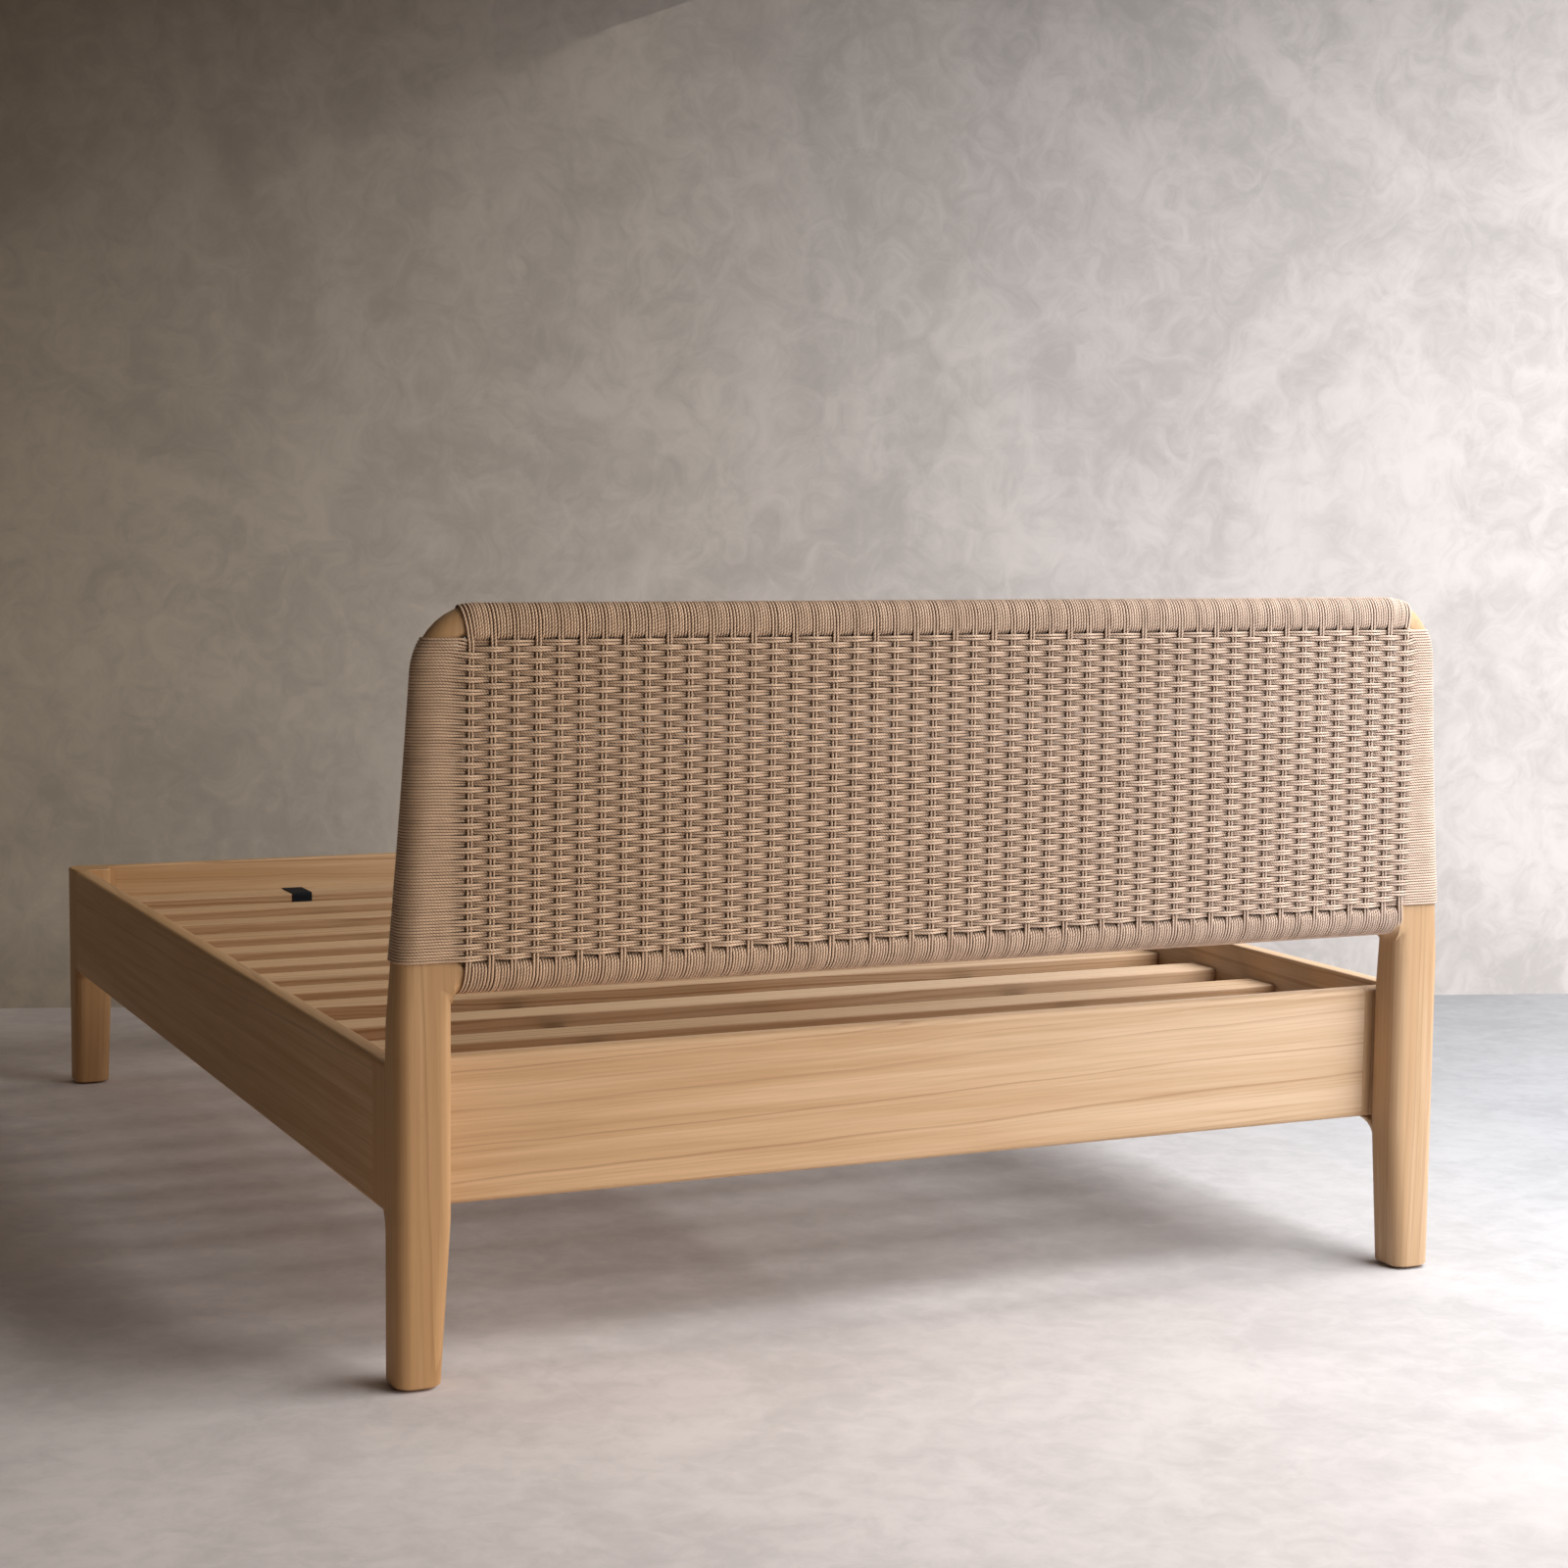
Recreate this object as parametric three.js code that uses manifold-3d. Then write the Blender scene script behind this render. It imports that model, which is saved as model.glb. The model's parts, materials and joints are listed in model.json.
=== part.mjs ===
// A queen-size platform bed in pale wood with a woven-cord headboard.
// Millimetres. X runs across the bed, Y from the headboard to the foot, Z up.
// The origin is on the floor, in the middle of the bed's box.
import * as THREE from 'three';
import { mergeVertices } from 'three/addons/utils/BufferGeometryUtils.js';
import Module from 'manifold-3d';

const wasm = await Module();
wasm.setup();

// Overall sizes
const bedWidth = 1600;
const bedLength = 2150;
const headboardHeight = 998;

// Fits and cuts
const fitGap = 0.3;
const overrun = 4;

// Rails of the base
const railTop = 416;
const railHeight = 194;
const railThickness = 28;
const railOuterEdge = 8;
const railInnerEdge = 3;
const headRailSetback = 64;

// Headboard posts
const postWidth = 76;
const postDepth = 68;
const postFloorWidth = 62;
const postCorner = 20;
const postTopWidth = 49.6;
const postTopDepth = 34;
const postTaperStart = 470;
const headboardCorner = 88;
const frameInnerFillet = 18;
const outerRoundShare = 0.65;
const depthRoundShare = 0.49;

// Headboard rails
const topRailHeight = 41;
const bottomRailHeight = 38;
const bottomRailFoot = 507;
const bottomRailRound = 28;
const headboardRailEdge = 9;

// Foot legs
const legWidth = 72;
const legFloorWidth = 65;
const legCorner = 18;
const legTopEdge = 3;
const footEase = 3;

// Ears of the posts and legs, where the rails meet them
const headEarLength = 38;
const crossEarLength = 11;
const legEarLength = 20;
const earFilletWidth = 30;
const earFilletHeight = 30;
const crossFilletHeight = 36;
const legFilletHeight = 22;

// Tenons
const tenonLength = 24;
const tenonThickness = 12;
const tenonShoulder = 20;
const headboardTenonLength = 20;
const headboardTenonThickness = 9;
const headboardTenonShoulder = 12;

// Cord and weave
const cordDiameter = 3.9;
const weaveBack = 2 * cordDiameter;
const weaveEdge = 2;

// Slats and what carries them
const slatWidth = 70;
const endSlatWidth = 78;
const slatThickness = 22;
const slatDepthBelowRail = 48;
const slatEdge = 3;
const slatEndGap = 1;
const slatFarEdgeShares = [
  0.1293, 0.2107, 0.2902, 0.3716, 0.4363, 0.4967, 0.5595, 0.6307, 0.7019, 0.7819, 0.8605, 0.947,
];
const ledgerThickness = 25;
const ledgerHeight = 32;
const ledgerEdge = 2;
const ledgerEndGap = 4;
const beamWidth = 32;
const beamHeight = 62;
const beamEdge = 3;
const centreLegWidth = 45;
const centreLegEdge = 5;

// Steel fittings
const bracketThickness = 3;
const bracketHeight = 64;
const bracketSideArm = 60;
const bracketCrossArm = 34;
const bracketBelowLedger = 12;
const boltAlongSideArm = 42;
const boltAlongCrossArm = 18;
const boltRadius = 4;
const boltLength = 22;
const boltHeadRadius = 8;
const boltHeadHeight = 5;
const boltSocketRadius = 3;
const boltSocketDepth = 3;
const hangerThickness = 3;
const hangerLength = 34;
const hangerFlange = 24;
const studRadius = 5;
const studLength = 60;

// Webbing straps
const strapWidth = 38;
const strapThickness = 1.8;
const strapInset = 391;

// Glides
const glideThickness = 3;
const glideRadius = 22;
const glideEdge = 1;
const glidePinRadius = 3;
const glidePinLength = 14;
const centreGlideRadius = 17;

// How finely round forms are divided
const cornerSteps = 4;
const edgeSteps = 2;
const filletSteps = 6;
const bendSteps = 8;
const turnedSides = 12;

// Places worked out from the sizes
const railBottom = railTop - railHeight;
const slatTop = railTop - slatDepthBelowRail;
const slatBottom = slatTop - slatThickness;
const ledgerTop = slatBottom - fitGap;
const earSeamX = postWidth + crossEarLength;
const headSeamY = postDepth + headEarLength;
const footLegFace = bedLength - legWidth;
const footSeamY = footLegFace - legEarLength;
const headRailFace = headRailSetback + railThickness;
const footRailFace = bedLength - railThickness;
const cornerCentreZ = headboardHeight - headboardCorner;
const frameSeamX = postWidth + frameInnerFillet;
const topRailFoot = headboardHeight - topRailHeight;
const bottomRailTop = bottomRailFoot + bottomRailHeight;
const wrapReach = cordDiameter + fitGap;
const weaveLow = bottomRailTop + wrapReach + fitGap;
const weaveHigh = topRailFoot - wrapReach - fitGap;
const outerSlope = (postWidth - postTopWidth) / (cornerCentreZ - postTaperStart);
const frontSlope = (postDepth - postTopDepth) / (cornerCentreZ - railTop);
const slopeAngle = Math.atan(outerSlope);
const bendCentreX = postWidth - postTopWidth + headboardCorner / Math.cos(slopeAngle);

const wood = { color: 0xc0976a, roughness: 0.62, metalness: 0 };
const slatWood = { color: 0xc7a27a, roughness: 0.7, metalness: 0 };
const cord = { color: 0xb8966c, roughness: 0.9, metalness: 0 };
const steel = { color: 0x55585b, roughness: 0.45, metalness: 0.9 };
const webbing = { color: 0x1d1c1b, roughness: 0.95, metalness: 0 };
const felt = { color: 0x3a3633, roughness: 0.9, metalness: 0 };

const bed = new THREE.Group();
bed.position.y = (weaveBack - bedLength) / 2;

// Adds one piece. Pieces drawn from the left outer face sit on side -1, their mirror on side 1.
function addPiece(name, finish, geometry, side = 0) {
  const shape = side > 0 ? mirrored(geometry) : geometry;
  shape.computeVertexNormals();
  const mesh = new THREE.Mesh(shape, new THREE.MeshStandardMaterial(finish));
  mesh.name = name;
  mesh.position.x = side * bedWidth / 2;
  bed.add(mesh);
  return mesh;
}

function mirrored(geometry) {
  return outward(geometry.clone().scale(-1, 1, 1));
}

// The same surface with its corners shared, no flat-out triangles and its faces pointing out.
function outward(geometry) {
  const bare = geometry.clone();
  bare.deleteAttribute('normal');
  bare.deleteAttribute('uv');
  const welded = mergeVertices(bare);
  const order = [...welded.index.array];
  const kept = [];
  for (let i = 0; i < order.length; i += 3) {
    const [a, b, c] = order.slice(i, i + 3);
    if (a !== b && b !== c && c !== a) kept.push(a, b, c);
  }
  welded.setIndex(kept);
  if (signedVolume(welded) < 0) welded.setIndex(kept.reverse());
  return welded;
}

function signedVolume(geometry) {
  const at = (i) => new THREE.Vector3().fromBufferAttribute(geometry.attributes.position, i);
  const order = geometry.index.array;
  let volume = 0;
  for (let i = 0; i < order.length; i += 3) {
    volume += at(order[i]).dot(at(order[i + 1]).cross(at(order[i + 2]))) / 6;
  }
  return volume;
}

// Joins and cuts
function toSolid(geometry) {
  const closed = outward(geometry);
  return new wasm.Manifold(new wasm.Mesh({
    numProp: 3,
    vertProperties: new Float32Array(closed.attributes.position.array),
    triVerts: new Uint32Array(closed.index.array),
  }));
}

function toGeometry(body) {
  const mesh = body.getMesh();
  const geometry = new THREE.BufferGeometry();
  geometry.setAttribute('position', new THREE.BufferAttribute(mesh.vertProperties, 3));
  geometry.setIndex(new THREE.BufferAttribute(mesh.triVerts, 1));
  return geometry;
}

function joinAndCut(joined, removed = []) {
  let body = toSolid(joined[0]);
  for (const geometry of joined.slice(1)) body = body.add(toSolid(geometry));
  for (const geometry of removed) body = body.subtract(toSolid(geometry));
  return toGeometry(body);
}

function keepInside(geometry, limit) {
  return toGeometry(toSolid(geometry).intersect(toSolid(limit)));
}

// A ring of points round a convex outline. Each corner is rounded off from a point on the edge
// before it to a point on the edge after it, and its two reaches say how far off they are.
function roundedRing(corners, reaches, steps) {
  const ring = [];
  corners.forEach((corner, i) => {
    const before = corners[(i + corners.length - 1) % corners.length];
    const after = corners[(i + 1) % corners.length];
    const toBefore = before.clone().sub(corner).setLength(reaches[i][0]);
    const toAfter = after.clone().sub(corner).setLength(reaches[i][1]);
    for (let step = 0; step <= steps; step += 1) {
      const angle = Math.PI / 2 * step / steps;
      ring.push(corner.clone().addScaledVector(toBefore, 1 - Math.sin(angle))
        .addScaledVector(toAfter, 1 - Math.cos(angle)));
    }
  });
  return ring;
}

const evenReaches = (radii) => radii.map((radius) => [radius, radius]);

// A closed body through rings that have the same number of points.
function loft(rings) {
  const count = rings[0].length;
  const places = rings.flat().flatMap((point) => [point.x, point.y, point.z]);
  const order = [];
  for (let r = 0; r + 1 < rings.length; r += 1) {
    for (let i = 0; i < count; i += 1) {
      const a = r * count + i;
      const b = r * count + (i + 1) % count;
      order.push(a, b, b + count, a, b + count, a + count);
    }
  }
  const last = (rings.length - 1) * count;
  for (let i = 1; i + 1 < count; i += 1) {
    order.push(0, i + 1, i, last, last + i, last + i + 1);
  }
  const geometry = new THREE.BufferGeometry();
  geometry.setAttribute('position', new THREE.Float32BufferAttribute(places, 3));
  geometry.setIndex(order);
  return outward(geometry);
}

const alongX = (x, ring) => ring.map((point) => new THREE.Vector3(x, point.x, point.y));
const alongY = (y, ring) => ring.map((point) => new THREE.Vector3(point.x, y, point.y));
const alongZ = (z, ring) => ring.map((point) => new THREE.Vector3(point.x, point.y, z));

function rectangle(low, high) {
  return [
    new THREE.Vector2(low[0], low[1]), new THREE.Vector2(high[0], low[1]),
    new THREE.Vector2(high[0], high[1]), new THREE.Vector2(low[0], high[1]),
  ];
}

function evenRing(low, high, radius, steps = edgeSteps) {
  return roundedRing(rectangle(low, high), evenReaches([radius, radius, radius, radius]), steps);
}

function boxBetween(low, high) {
  const size = high.map((value, i) => value - low[i]);
  const box = new THREE.BoxGeometry(...size);
  box.translate(...low.map((value, i) => value + size[i] / 2));
  return box;
}

// A turned piece: the profile's points give radius and height.
function turned(profile, sides = turnedSides) {
  const points = profile.map(([radius, height]) => new THREE.Vector2(radius, height));
  return outward(new THREE.LatheGeometry(points, sides).rotateX(Math.PI / 2));
}

// Sections of the headboard's frame
const outerInset = (z) => outerSlope * Math.max(0, z - postTaperStart);
const frontDepth = (z) =>
  postDepth - frontSlope * THREE.MathUtils.clamp(z - railTop, 0, cornerCentreZ - railTop);

// How far a section's corners are rounded off: the higher, the rounder its outer side.
function frameReaches(z, width, depth, swell) {
  const blend = (low, high) =>
    THREE.MathUtils.mapLinear(Math.min(Math.max(z, bottomRailTop), cornerCentreZ),
      bottomRailTop, cornerCentreZ, low, high) + swell;
  const across = blend(postCorner, width * outerRoundShare);
  const deep = blend(postCorner, depth * depthRoundShare);
  const inner = blend(postCorner, headboardRailEdge);
  return [[deep, across], [inner, inner], [inner, inner], [across, deep]];
}

function postRing(z, inner, swell = 0, trim = 0) {
  const outer = outerInset(z);
  const depth = frontDepth(z);
  const section = rectangle(
    [outer - swell + trim, -swell + trim], [inner + swell - trim, depth + swell - trim]);
  return alongZ(z, roundedRing(section, frameReaches(z, inner - outer, depth, swell), cornerSteps));
}

// The turned corner, from the top of the post to the top rail's seam, as sections that fan out.
function bendRings(swell = 0) {
  const outerCentre = new THREE.Vector2(bendCentreX, cornerCentreZ);
  const innerCentre = new THREE.Vector2(frameSeamX, topRailFoot - frameInnerFillet);
  const seamAngle = Math.acos((bendCentreX - frameSeamX) / headboardCorner);
  const rings = [];
  for (let step = 0; step <= bendSteps; step += 1) {
    const share = step / bendSteps;
    const outerAngle = THREE.MathUtils.lerp(slopeAngle, seamAngle, share);
    const innerAngle = share * Math.PI / 2;
    const outer = new THREE.Vector2(-Math.cos(outerAngle), Math.sin(outerAngle))
      .multiplyScalar(headboardCorner).add(outerCentre);
    const inner = new THREE.Vector2(-Math.cos(innerAngle), Math.sin(innerAngle))
      .multiplyScalar(frameInnerFillet).add(innerCentre);
    rings.push(spanRing(outer, inner, swell));
  }
  return rings;
}

// A section between an outer and an inner place of the frame's top, square to its plane.
function spanRing(outer, inner, swell = 0) {
  const along = inner.clone().sub(outer);
  const width = along.length();
  along.divideScalar(width);
  const section = rectangle([-swell, -swell], [width + swell, postTopDepth + swell]);
  const reaches = frameReaches(outer.y, width, postTopDepth, swell);
  return roundedRing(section, reaches, cornerSteps).map((point) =>
    new THREE.Vector3(outer.x + along.x * point.x, point.y, outer.y + along.y * point.x));
}

function railRing(low, high, outerFirst) {
  const near = outerFirst ? railOuterEdge : railInnerEdge;
  const far = outerFirst ? railInnerEdge : railOuterEdge;
  return roundedRing(rectangle(low, high), evenReaches([near, far, far, near]), edgeSteps);
}

// What lies under an ear: a quarter ellipse that falls to the leg and takes on its round corner.
// slice gives the level section that reaches to a place, for its share of the whole reach.
function earFillet(leg, end, height, slice) {
  const rings = [];
  const start = leg - Math.sign(end - leg) * fitGap;
  for (let step = 0; step <= filletSteps; step += 1) {
    const angle = Math.PI / 2 * step / filletSteps;
    const reach = 1 - Math.cos(angle);
    const section = slice(THREE.MathUtils.lerp(start, end, reach), reach);
    rings.push(alongZ(railBottom - height * (1 - Math.sin(angle)), section));
  }
  rings.push(alongZ(railBottom + railInnerEdge, slice(end, 1)));
  return loft(rings);
}

// The forward ear, flush with the side rail.
function sideEar(root, leg, seam, corner, height) {
  const direction = Math.sign(seam - leg);
  const end = leg + direction * Math.min(earFilletWidth, Math.abs(seam - leg));
  const ring = railRing([0, railBottom], [railThickness, railTop], true);
  const slice = (y, reach) => {
    const round = THREE.MathUtils.lerp(corner, railOuterEdge, reach);
    const reaches = evenReaches(direction > 0
      ? [railInnerEdge, railInnerEdge, railInnerEdge, round]
      : [round, railInnerEdge, railInnerEdge, railInnerEdge]);
    const sides = [railOuterEdge * reach, railThickness - railInnerEdge * reach];
    return roundedRing(rectangle([sides[0], Math.min(root, y)], [sides[1], Math.max(root, y)]),
      reaches, cornerSteps);
  };
  return [loft([alongY(root, ring), alongY(seam, ring)]), earFillet(leg, end, height, slice)];
}

// The inward ear, flush with a cross rail whose faces are at two places along the bed. Under it,
// the section grows out of the leg between two such places, where corner says how far its far
// corner is rounded off along the bed and across it.
function crossEar(leg, faces, legFaces, outerFirst, corner, height) {
  const [near, far] = outerFirst ? [railOuterEdge, railInnerEdge] : [railInnerEdge, railOuterEdge];
  const root = railThickness / 2;
  const ring = railRing([faces[0], railBottom], [faces[1], railTop], outerFirst);
  const slice = (x, reach) => {
    const share = (start, end) => THREE.MathUtils.lerp(start, end, reach);
    const low = share(legFaces[0], faces[0] + near);
    const high = share(legFaces[1], faces[1] - far);
    const edge = share(railInnerEdge, near);
    const round = corner.map((value) => share(value, far));
    return roundedRing(rectangle([root, low], [x, high]),
      [[edge, edge], [edge, edge], round, [railInnerEdge, railInnerEdge]], cornerSteps);
  };
  return [loft([alongX(root, ring), alongX(earSeamX, ring)]), earFillet(leg, earSeamX, height, slice)];
}

// The stub of the headboard's bottom rail on the post, with a fillet above and below it.
function bottomStub(swell = 0) {
  const rings = [bottomRailRing(postWidth - postCorner - swell, frameInnerFillet, swell)];
  for (let step = 0; step <= filletSteps; step += 1) {
    const angle = Math.PI / 2 * step / filletSteps;
    const x = postWidth + frameInnerFillet * (1 - Math.cos(angle));
    rings.push(bottomRailRing(x, frameInnerFillet * (1 - Math.sin(angle)), swell));
  }
  return loft(rings);
}

function bottomRailRing(x, flare, swell = 0) {
  const low = bottomRailFoot - flare - swell;
  const high = bottomRailTop + flare + swell;
  const corners = [
    new THREE.Vector2(-swell, low), new THREE.Vector2(frontDepth(low) + swell, low),
    new THREE.Vector2(frontDepth(high) + swell, high), new THREE.Vector2(-swell, high),
  ];
  const deep = frontDepth(low) * depthRoundShare + swell;
  const round = bottomRailRound + swell;
  const edge = headboardRailEdge + swell;
  const reaches = [[round, deep], [deep, round], [edge, edge], [edge, edge]];
  return alongX(x, roundedRing(corners, reaches, cornerSteps));
}

// Tenons, drawn whole across a seam so that a mortise is the same box grown by the fit.
function headboardTenon(low, high, grow = 0) {
  const middle = frontDepth((low + high) / 2) / 2;
  return boxBetween(
    [frameSeamX - headboardTenonLength - grow, middle - headboardTenonThickness / 2 - grow,
      low + headboardTenonShoulder - grow],
    [frameSeamX + overrun, middle + headboardTenonThickness / 2 + grow,
      high - headboardTenonShoulder + grow]);
}

function crossTenon(faces, grow = 0) {
  const middle = (faces[0] + faces[1]) / 2;
  return boxBetween(
    [earSeamX - tenonLength - grow, middle - tenonThickness / 2 - grow,
      railBottom + tenonShoulder - grow],
    [earSeamX + overrun, middle + tenonThickness / 2 + grow, railTop - tenonShoulder + grow]);
}

const headFaces = [headRailSetback, headRailFace];
const legFloor = glideThickness + fitGap;
const headGlideX = (postWidth - postCorner) / 2;

// How far a tapering leg reaches inward at a height under the rails.
function taperedReach(atFloor, atRail, z) {
  return THREE.MathUtils.lerp(atFloor, atRail, Math.min(1, (z - legFloor) / (railBottom - legFloor)));
}

const footFaces = [footRailFace, bedLength];

function glidePinHole(x, y) {
  const hole = turned([
    [0, -overrun], [glidePinRadius + fitGap, -overrun],
    [glidePinRadius + fitGap, glidePinLength + fitGap], [0, glidePinLength + fitGap],
  ]);
  hole.translate(x, y, glideThickness);
  return hole;
}

// Headboard posts
function headboardPost() {
  const inner = (z) => taperedReach(postFloorWidth, postWidth, z);
  const rings = [postRing(legFloor, inner(legFloor), 0, footEase)];
  for (const z of [legFloor + footEase, railBottom, railTop, postTaperStart, bottomRailTop]) {
    rings.push(postRing(z, inner(z)));
  }
  rings.push(...bendRings());
  const overlap = postDepth - headRailSetback;
  const chord = Math.sqrt(postCorner ** 2 - (postCorner - overlap) ** 2);
  const leg = inner(railBottom - crossFilletHeight) - postCorner + chord;
  const legFaces = [headRailSetback - railInnerEdge - fitGap, postDepth - fitGap];
  return joinAndCut(
    [
      loft(rings), bottomStub(),
      ...sideEar(postCorner, postDepth, headSeamY, postCorner, earFilletHeight),
      ...crossEar(leg, headFaces, legFaces, true, [overlap - fitGap, chord], crossFilletHeight),
    ],
    [
      headboardTenon(topRailFoot, headboardHeight, fitGap),
      headboardTenon(bottomRailFoot, bottomRailTop, fitGap),
      crossTenon(headFaces, fitGap),
      glidePinHole(headGlideX, postDepth / 2),
      boltHole(crossArmBolt(headRailFace, 1)),
    ]);
}

// Foot legs
function footLeg() {
  const ring = (z, reach, trim = 0) => alongZ(z, evenRing(
    [trim, bedLength - reach + trim], [reach - trim, bedLength - trim], legCorner, cornerSteps));
  const rings = [
    ring(legFloor, legFloorWidth, footEase), ring(legFloor + footEase, legFloorWidth),
    ring(railBottom, legWidth), ring(railTop - legTopEdge, legWidth),
    ring(railTop, legWidth, legTopEdge / 2),
  ];
  const reach = taperedReach(legFloorWidth, legWidth, railBottom - legFilletHeight);
  return joinAndCut(
    [
      loft(rings),
      ...sideEar(bedLength - legCorner, bedLength - reach, footSeamY, legCorner, legFilletHeight),
      ...crossEar(reach, footFaces, footFaces, false, [legCorner, legCorner], legFilletHeight),
    ],
    [
      crossTenon(footFaces, fitGap), glidePinHole(legFloorWidth / 2, bedLength - legFloorWidth / 2),
      boltHole(crossArmBolt(footLegFace, -1)),
    ]);
}

// Rails of the base
function sideRail() {
  const ring = railRing([0, railBottom], [railThickness, railTop], true);
  return joinAndCut(
    [loft([alongY(headSeamY + fitGap, ring), alongY(footSeamY - fitGap, ring)])],
    [boltHole(sideArmBolt(headRailFace, 1)), boltHole(sideArmBolt(footLegFace, -1))]);
}

function crossRail(faces, outerFirst) {
  const ring = railRing([faces[0], railBottom], [faces[1], railTop], outerFirst);
  const reach = bedWidth / 2 - earSeamX - fitGap;
  const tenons = [-1, 1].map((side) => {
    const tenon = crossTenon(faces);
    tenon.translate(-bedWidth / 2, 0, 0);
    return side > 0 ? mirrored(tenon) : tenon;
  });
  return joinAndCut([loft([alongX(-reach, ring), alongX(reach, ring)]), ...tenons]);
}

// Rails of the headboard
function pairedTenons(low, high) {
  return [-1, 1].map((side) => {
    const tenon = headboardTenon(low, high);
    tenon.translate(-bedWidth / 2, 0, 0);
    return side > 0 ? mirrored(tenon) : tenon;
  });
}

// Sections of the top rail from the middle's left: they end along the headboard's round corner.
function topRailRings(start, swell = 0) {
  const rings = [];
  for (let step = 0; step <= edgeSteps; step += 1) {
    const x = THREE.MathUtils.lerp(start, bendCentreX, step / edgeSteps);
    const rise = Math.sqrt(headboardCorner ** 2 - (bendCentreX - x) ** 2);
    const outer = new THREE.Vector2(x - bedWidth / 2, cornerCentreZ + rise);
    rings.push(spanRing(outer, new THREE.Vector2(x - bedWidth / 2, topRailFoot), swell));
  }
  return rings;
}

function bothEnds(rings) {
  const flipped = rings.map((ring) => ring.map((point) => point.clone().setX(-point.x))).reverse();
  return [...rings, ...flipped];
}

function topRail() {
  return joinAndCut(
    [loft(bothEnds(topRailRings(frameSeamX + fitGap))), ...pairedTenons(topRailFoot, headboardHeight)]);
}

function bottomRail() {
  const reach = bedWidth / 2 - frameSeamX - fitGap;
  return joinAndCut(
    [loft([bottomRailRing(-reach, 0), bottomRailRing(reach, 0)]),
      ...pairedTenons(bottomRailFoot, bottomRailTop)]);
}

// Cord wound round the rails and posts, as sleeves one cord thick
function topWrap() {
  return joinAndCut(
    [loft(bothEnds(topRailRings(frameSeamX, wrapReach)))],
    [loft(bothEnds(topRailRings(frameSeamX - overrun, fitGap)))]);
}

function bottomWrap() {
  const reach = bedWidth / 2 - frameSeamX;
  const longer = reach + overrun;
  return joinAndCut(
    [loft([bottomRailRing(-reach, 0, wrapReach), bottomRailRing(reach, 0, wrapReach)])],
    [loft([bottomRailRing(-longer, 0, fitGap), bottomRailRing(longer, 0, fitGap)])]);
}

function postWrap() {
  const body = (swell) => loft([
    postRing(postTaperStart, postWidth, swell), postRing(bottomRailTop, postWidth, swell),
    ...bendRings(swell),
  ]);
  const slab = boxBetween(
    [-wrapReach - overrun, -wrapReach - overrun, weaveLow - fitGap],
    [postWidth + wrapReach, postDepth + wrapReach + overrun, weaveHigh + fitGap]);
  return joinAndCut([keepInside(body(wrapReach), slab)], [body(fitGap), bottomStub(fitGap)]);
}

// A woven sheet between the wound rails and posts. Its two faces run from front to back.
function wovenSheet(faceAt) {
  const reach = bedWidth / 2 - postWidth - wrapReach - fitGap;
  const [lowBack, lowFront] = faceAt(weaveLow);
  const [highBack, highFront] = faceAt(weaveHigh);
  const corners = [
    new THREE.Vector2(lowBack, weaveLow), new THREE.Vector2(lowFront, weaveLow),
    new THREE.Vector2(highFront, weaveHigh), new THREE.Vector2(highBack, weaveHigh),
  ];
  const reaches = evenReaches([weaveEdge, weaveEdge, weaveEdge, weaveEdge]);
  const ring = roundedRing(corners, reaches, edgeSteps);
  return loft([alongX(-reach, ring), alongX(reach, ring)]);
}

// Slats
const slatPlaces = slatFarEdgeShares.map((share, i) => {
  const width = i + 1 < slatFarEdgeShares.length ? slatWidth : endSlatWidth;
  return { near: share * bedLength - width, far: share * bedLength };
});

function slat(place) {
  const ring = evenRing([place.near, slatBottom], [place.far, slatTop], slatEdge);
  const reach = bedWidth / 2 - railThickness - slatEndGap;
  return loft([alongX(-reach, ring), alongX(reach, ring)]);
}

// A strap lies under every slat and closes in a sewn loop round the first and the last one.
function strap() {
  const skin = fitGap + strapThickness;
  const ends = [slatPlaces[0], slatPlaces[slatPlaces.length - 1]];
  const band = (low, high) => boxBetween(
    [strapInset, low[0], low[1]], [strapInset + strapWidth, high[0], high[1]]);
  const loop = ({ near, far }) => {
    const around = rectangle([near - skin, slatBottom - skin], [far + skin, slatTop + skin]);
    const reaches = evenReaches(
      [strapThickness / 2, strapThickness / 2, slatEdge + skin, slatEdge + skin]);
    const ring = roundedRing(around, reaches, edgeSteps);
    return loft([alongX(strapInset, ring), alongX(strapInset + strapWidth, ring)]);
  };
  const bore = ({ near, far }) => boxBetween(
    [strapInset - overrun, near - fitGap, slatBottom - fitGap],
    [strapInset + strapWidth + overrun, far + fitGap, slatTop + fitGap]);
  const tail = band([ends[0].near, slatBottom - skin], [ends[1].far, slatBottom - fitGap]);
  return joinAndCut([tail, ...ends.map(loop)], ends.map(bore));
}

// What carries the slats
function ledger() {
  const ring = evenRing([railThickness + fitGap, ledgerTop - ledgerHeight],
    [railThickness + fitGap + ledgerThickness, ledgerTop], ledgerEdge);
  return loft([alongY(headSeamY + ledgerEndGap, ring), alongY(footSeamY - ledgerEndGap, ring)]);
}

const beamTop = ledgerTop;
const beamFoot = beamTop - beamHeight;
const beamStart = headRailFace + fitGap + hangerThickness + fitGap;
const beamEnd = footRailFace - fitGap - hangerThickness - fitGap;
const centreLegY = (beamStart + beamEnd) / 2;

function centreBeam() {
  const ring = evenRing([-beamWidth / 2, beamFoot], [beamWidth / 2, beamTop], beamEdge);
  return joinAndCut([loft([alongY(beamStart, ring), alongY(beamEnd, ring)])], [centreStud(fitGap)]);
}

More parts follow.
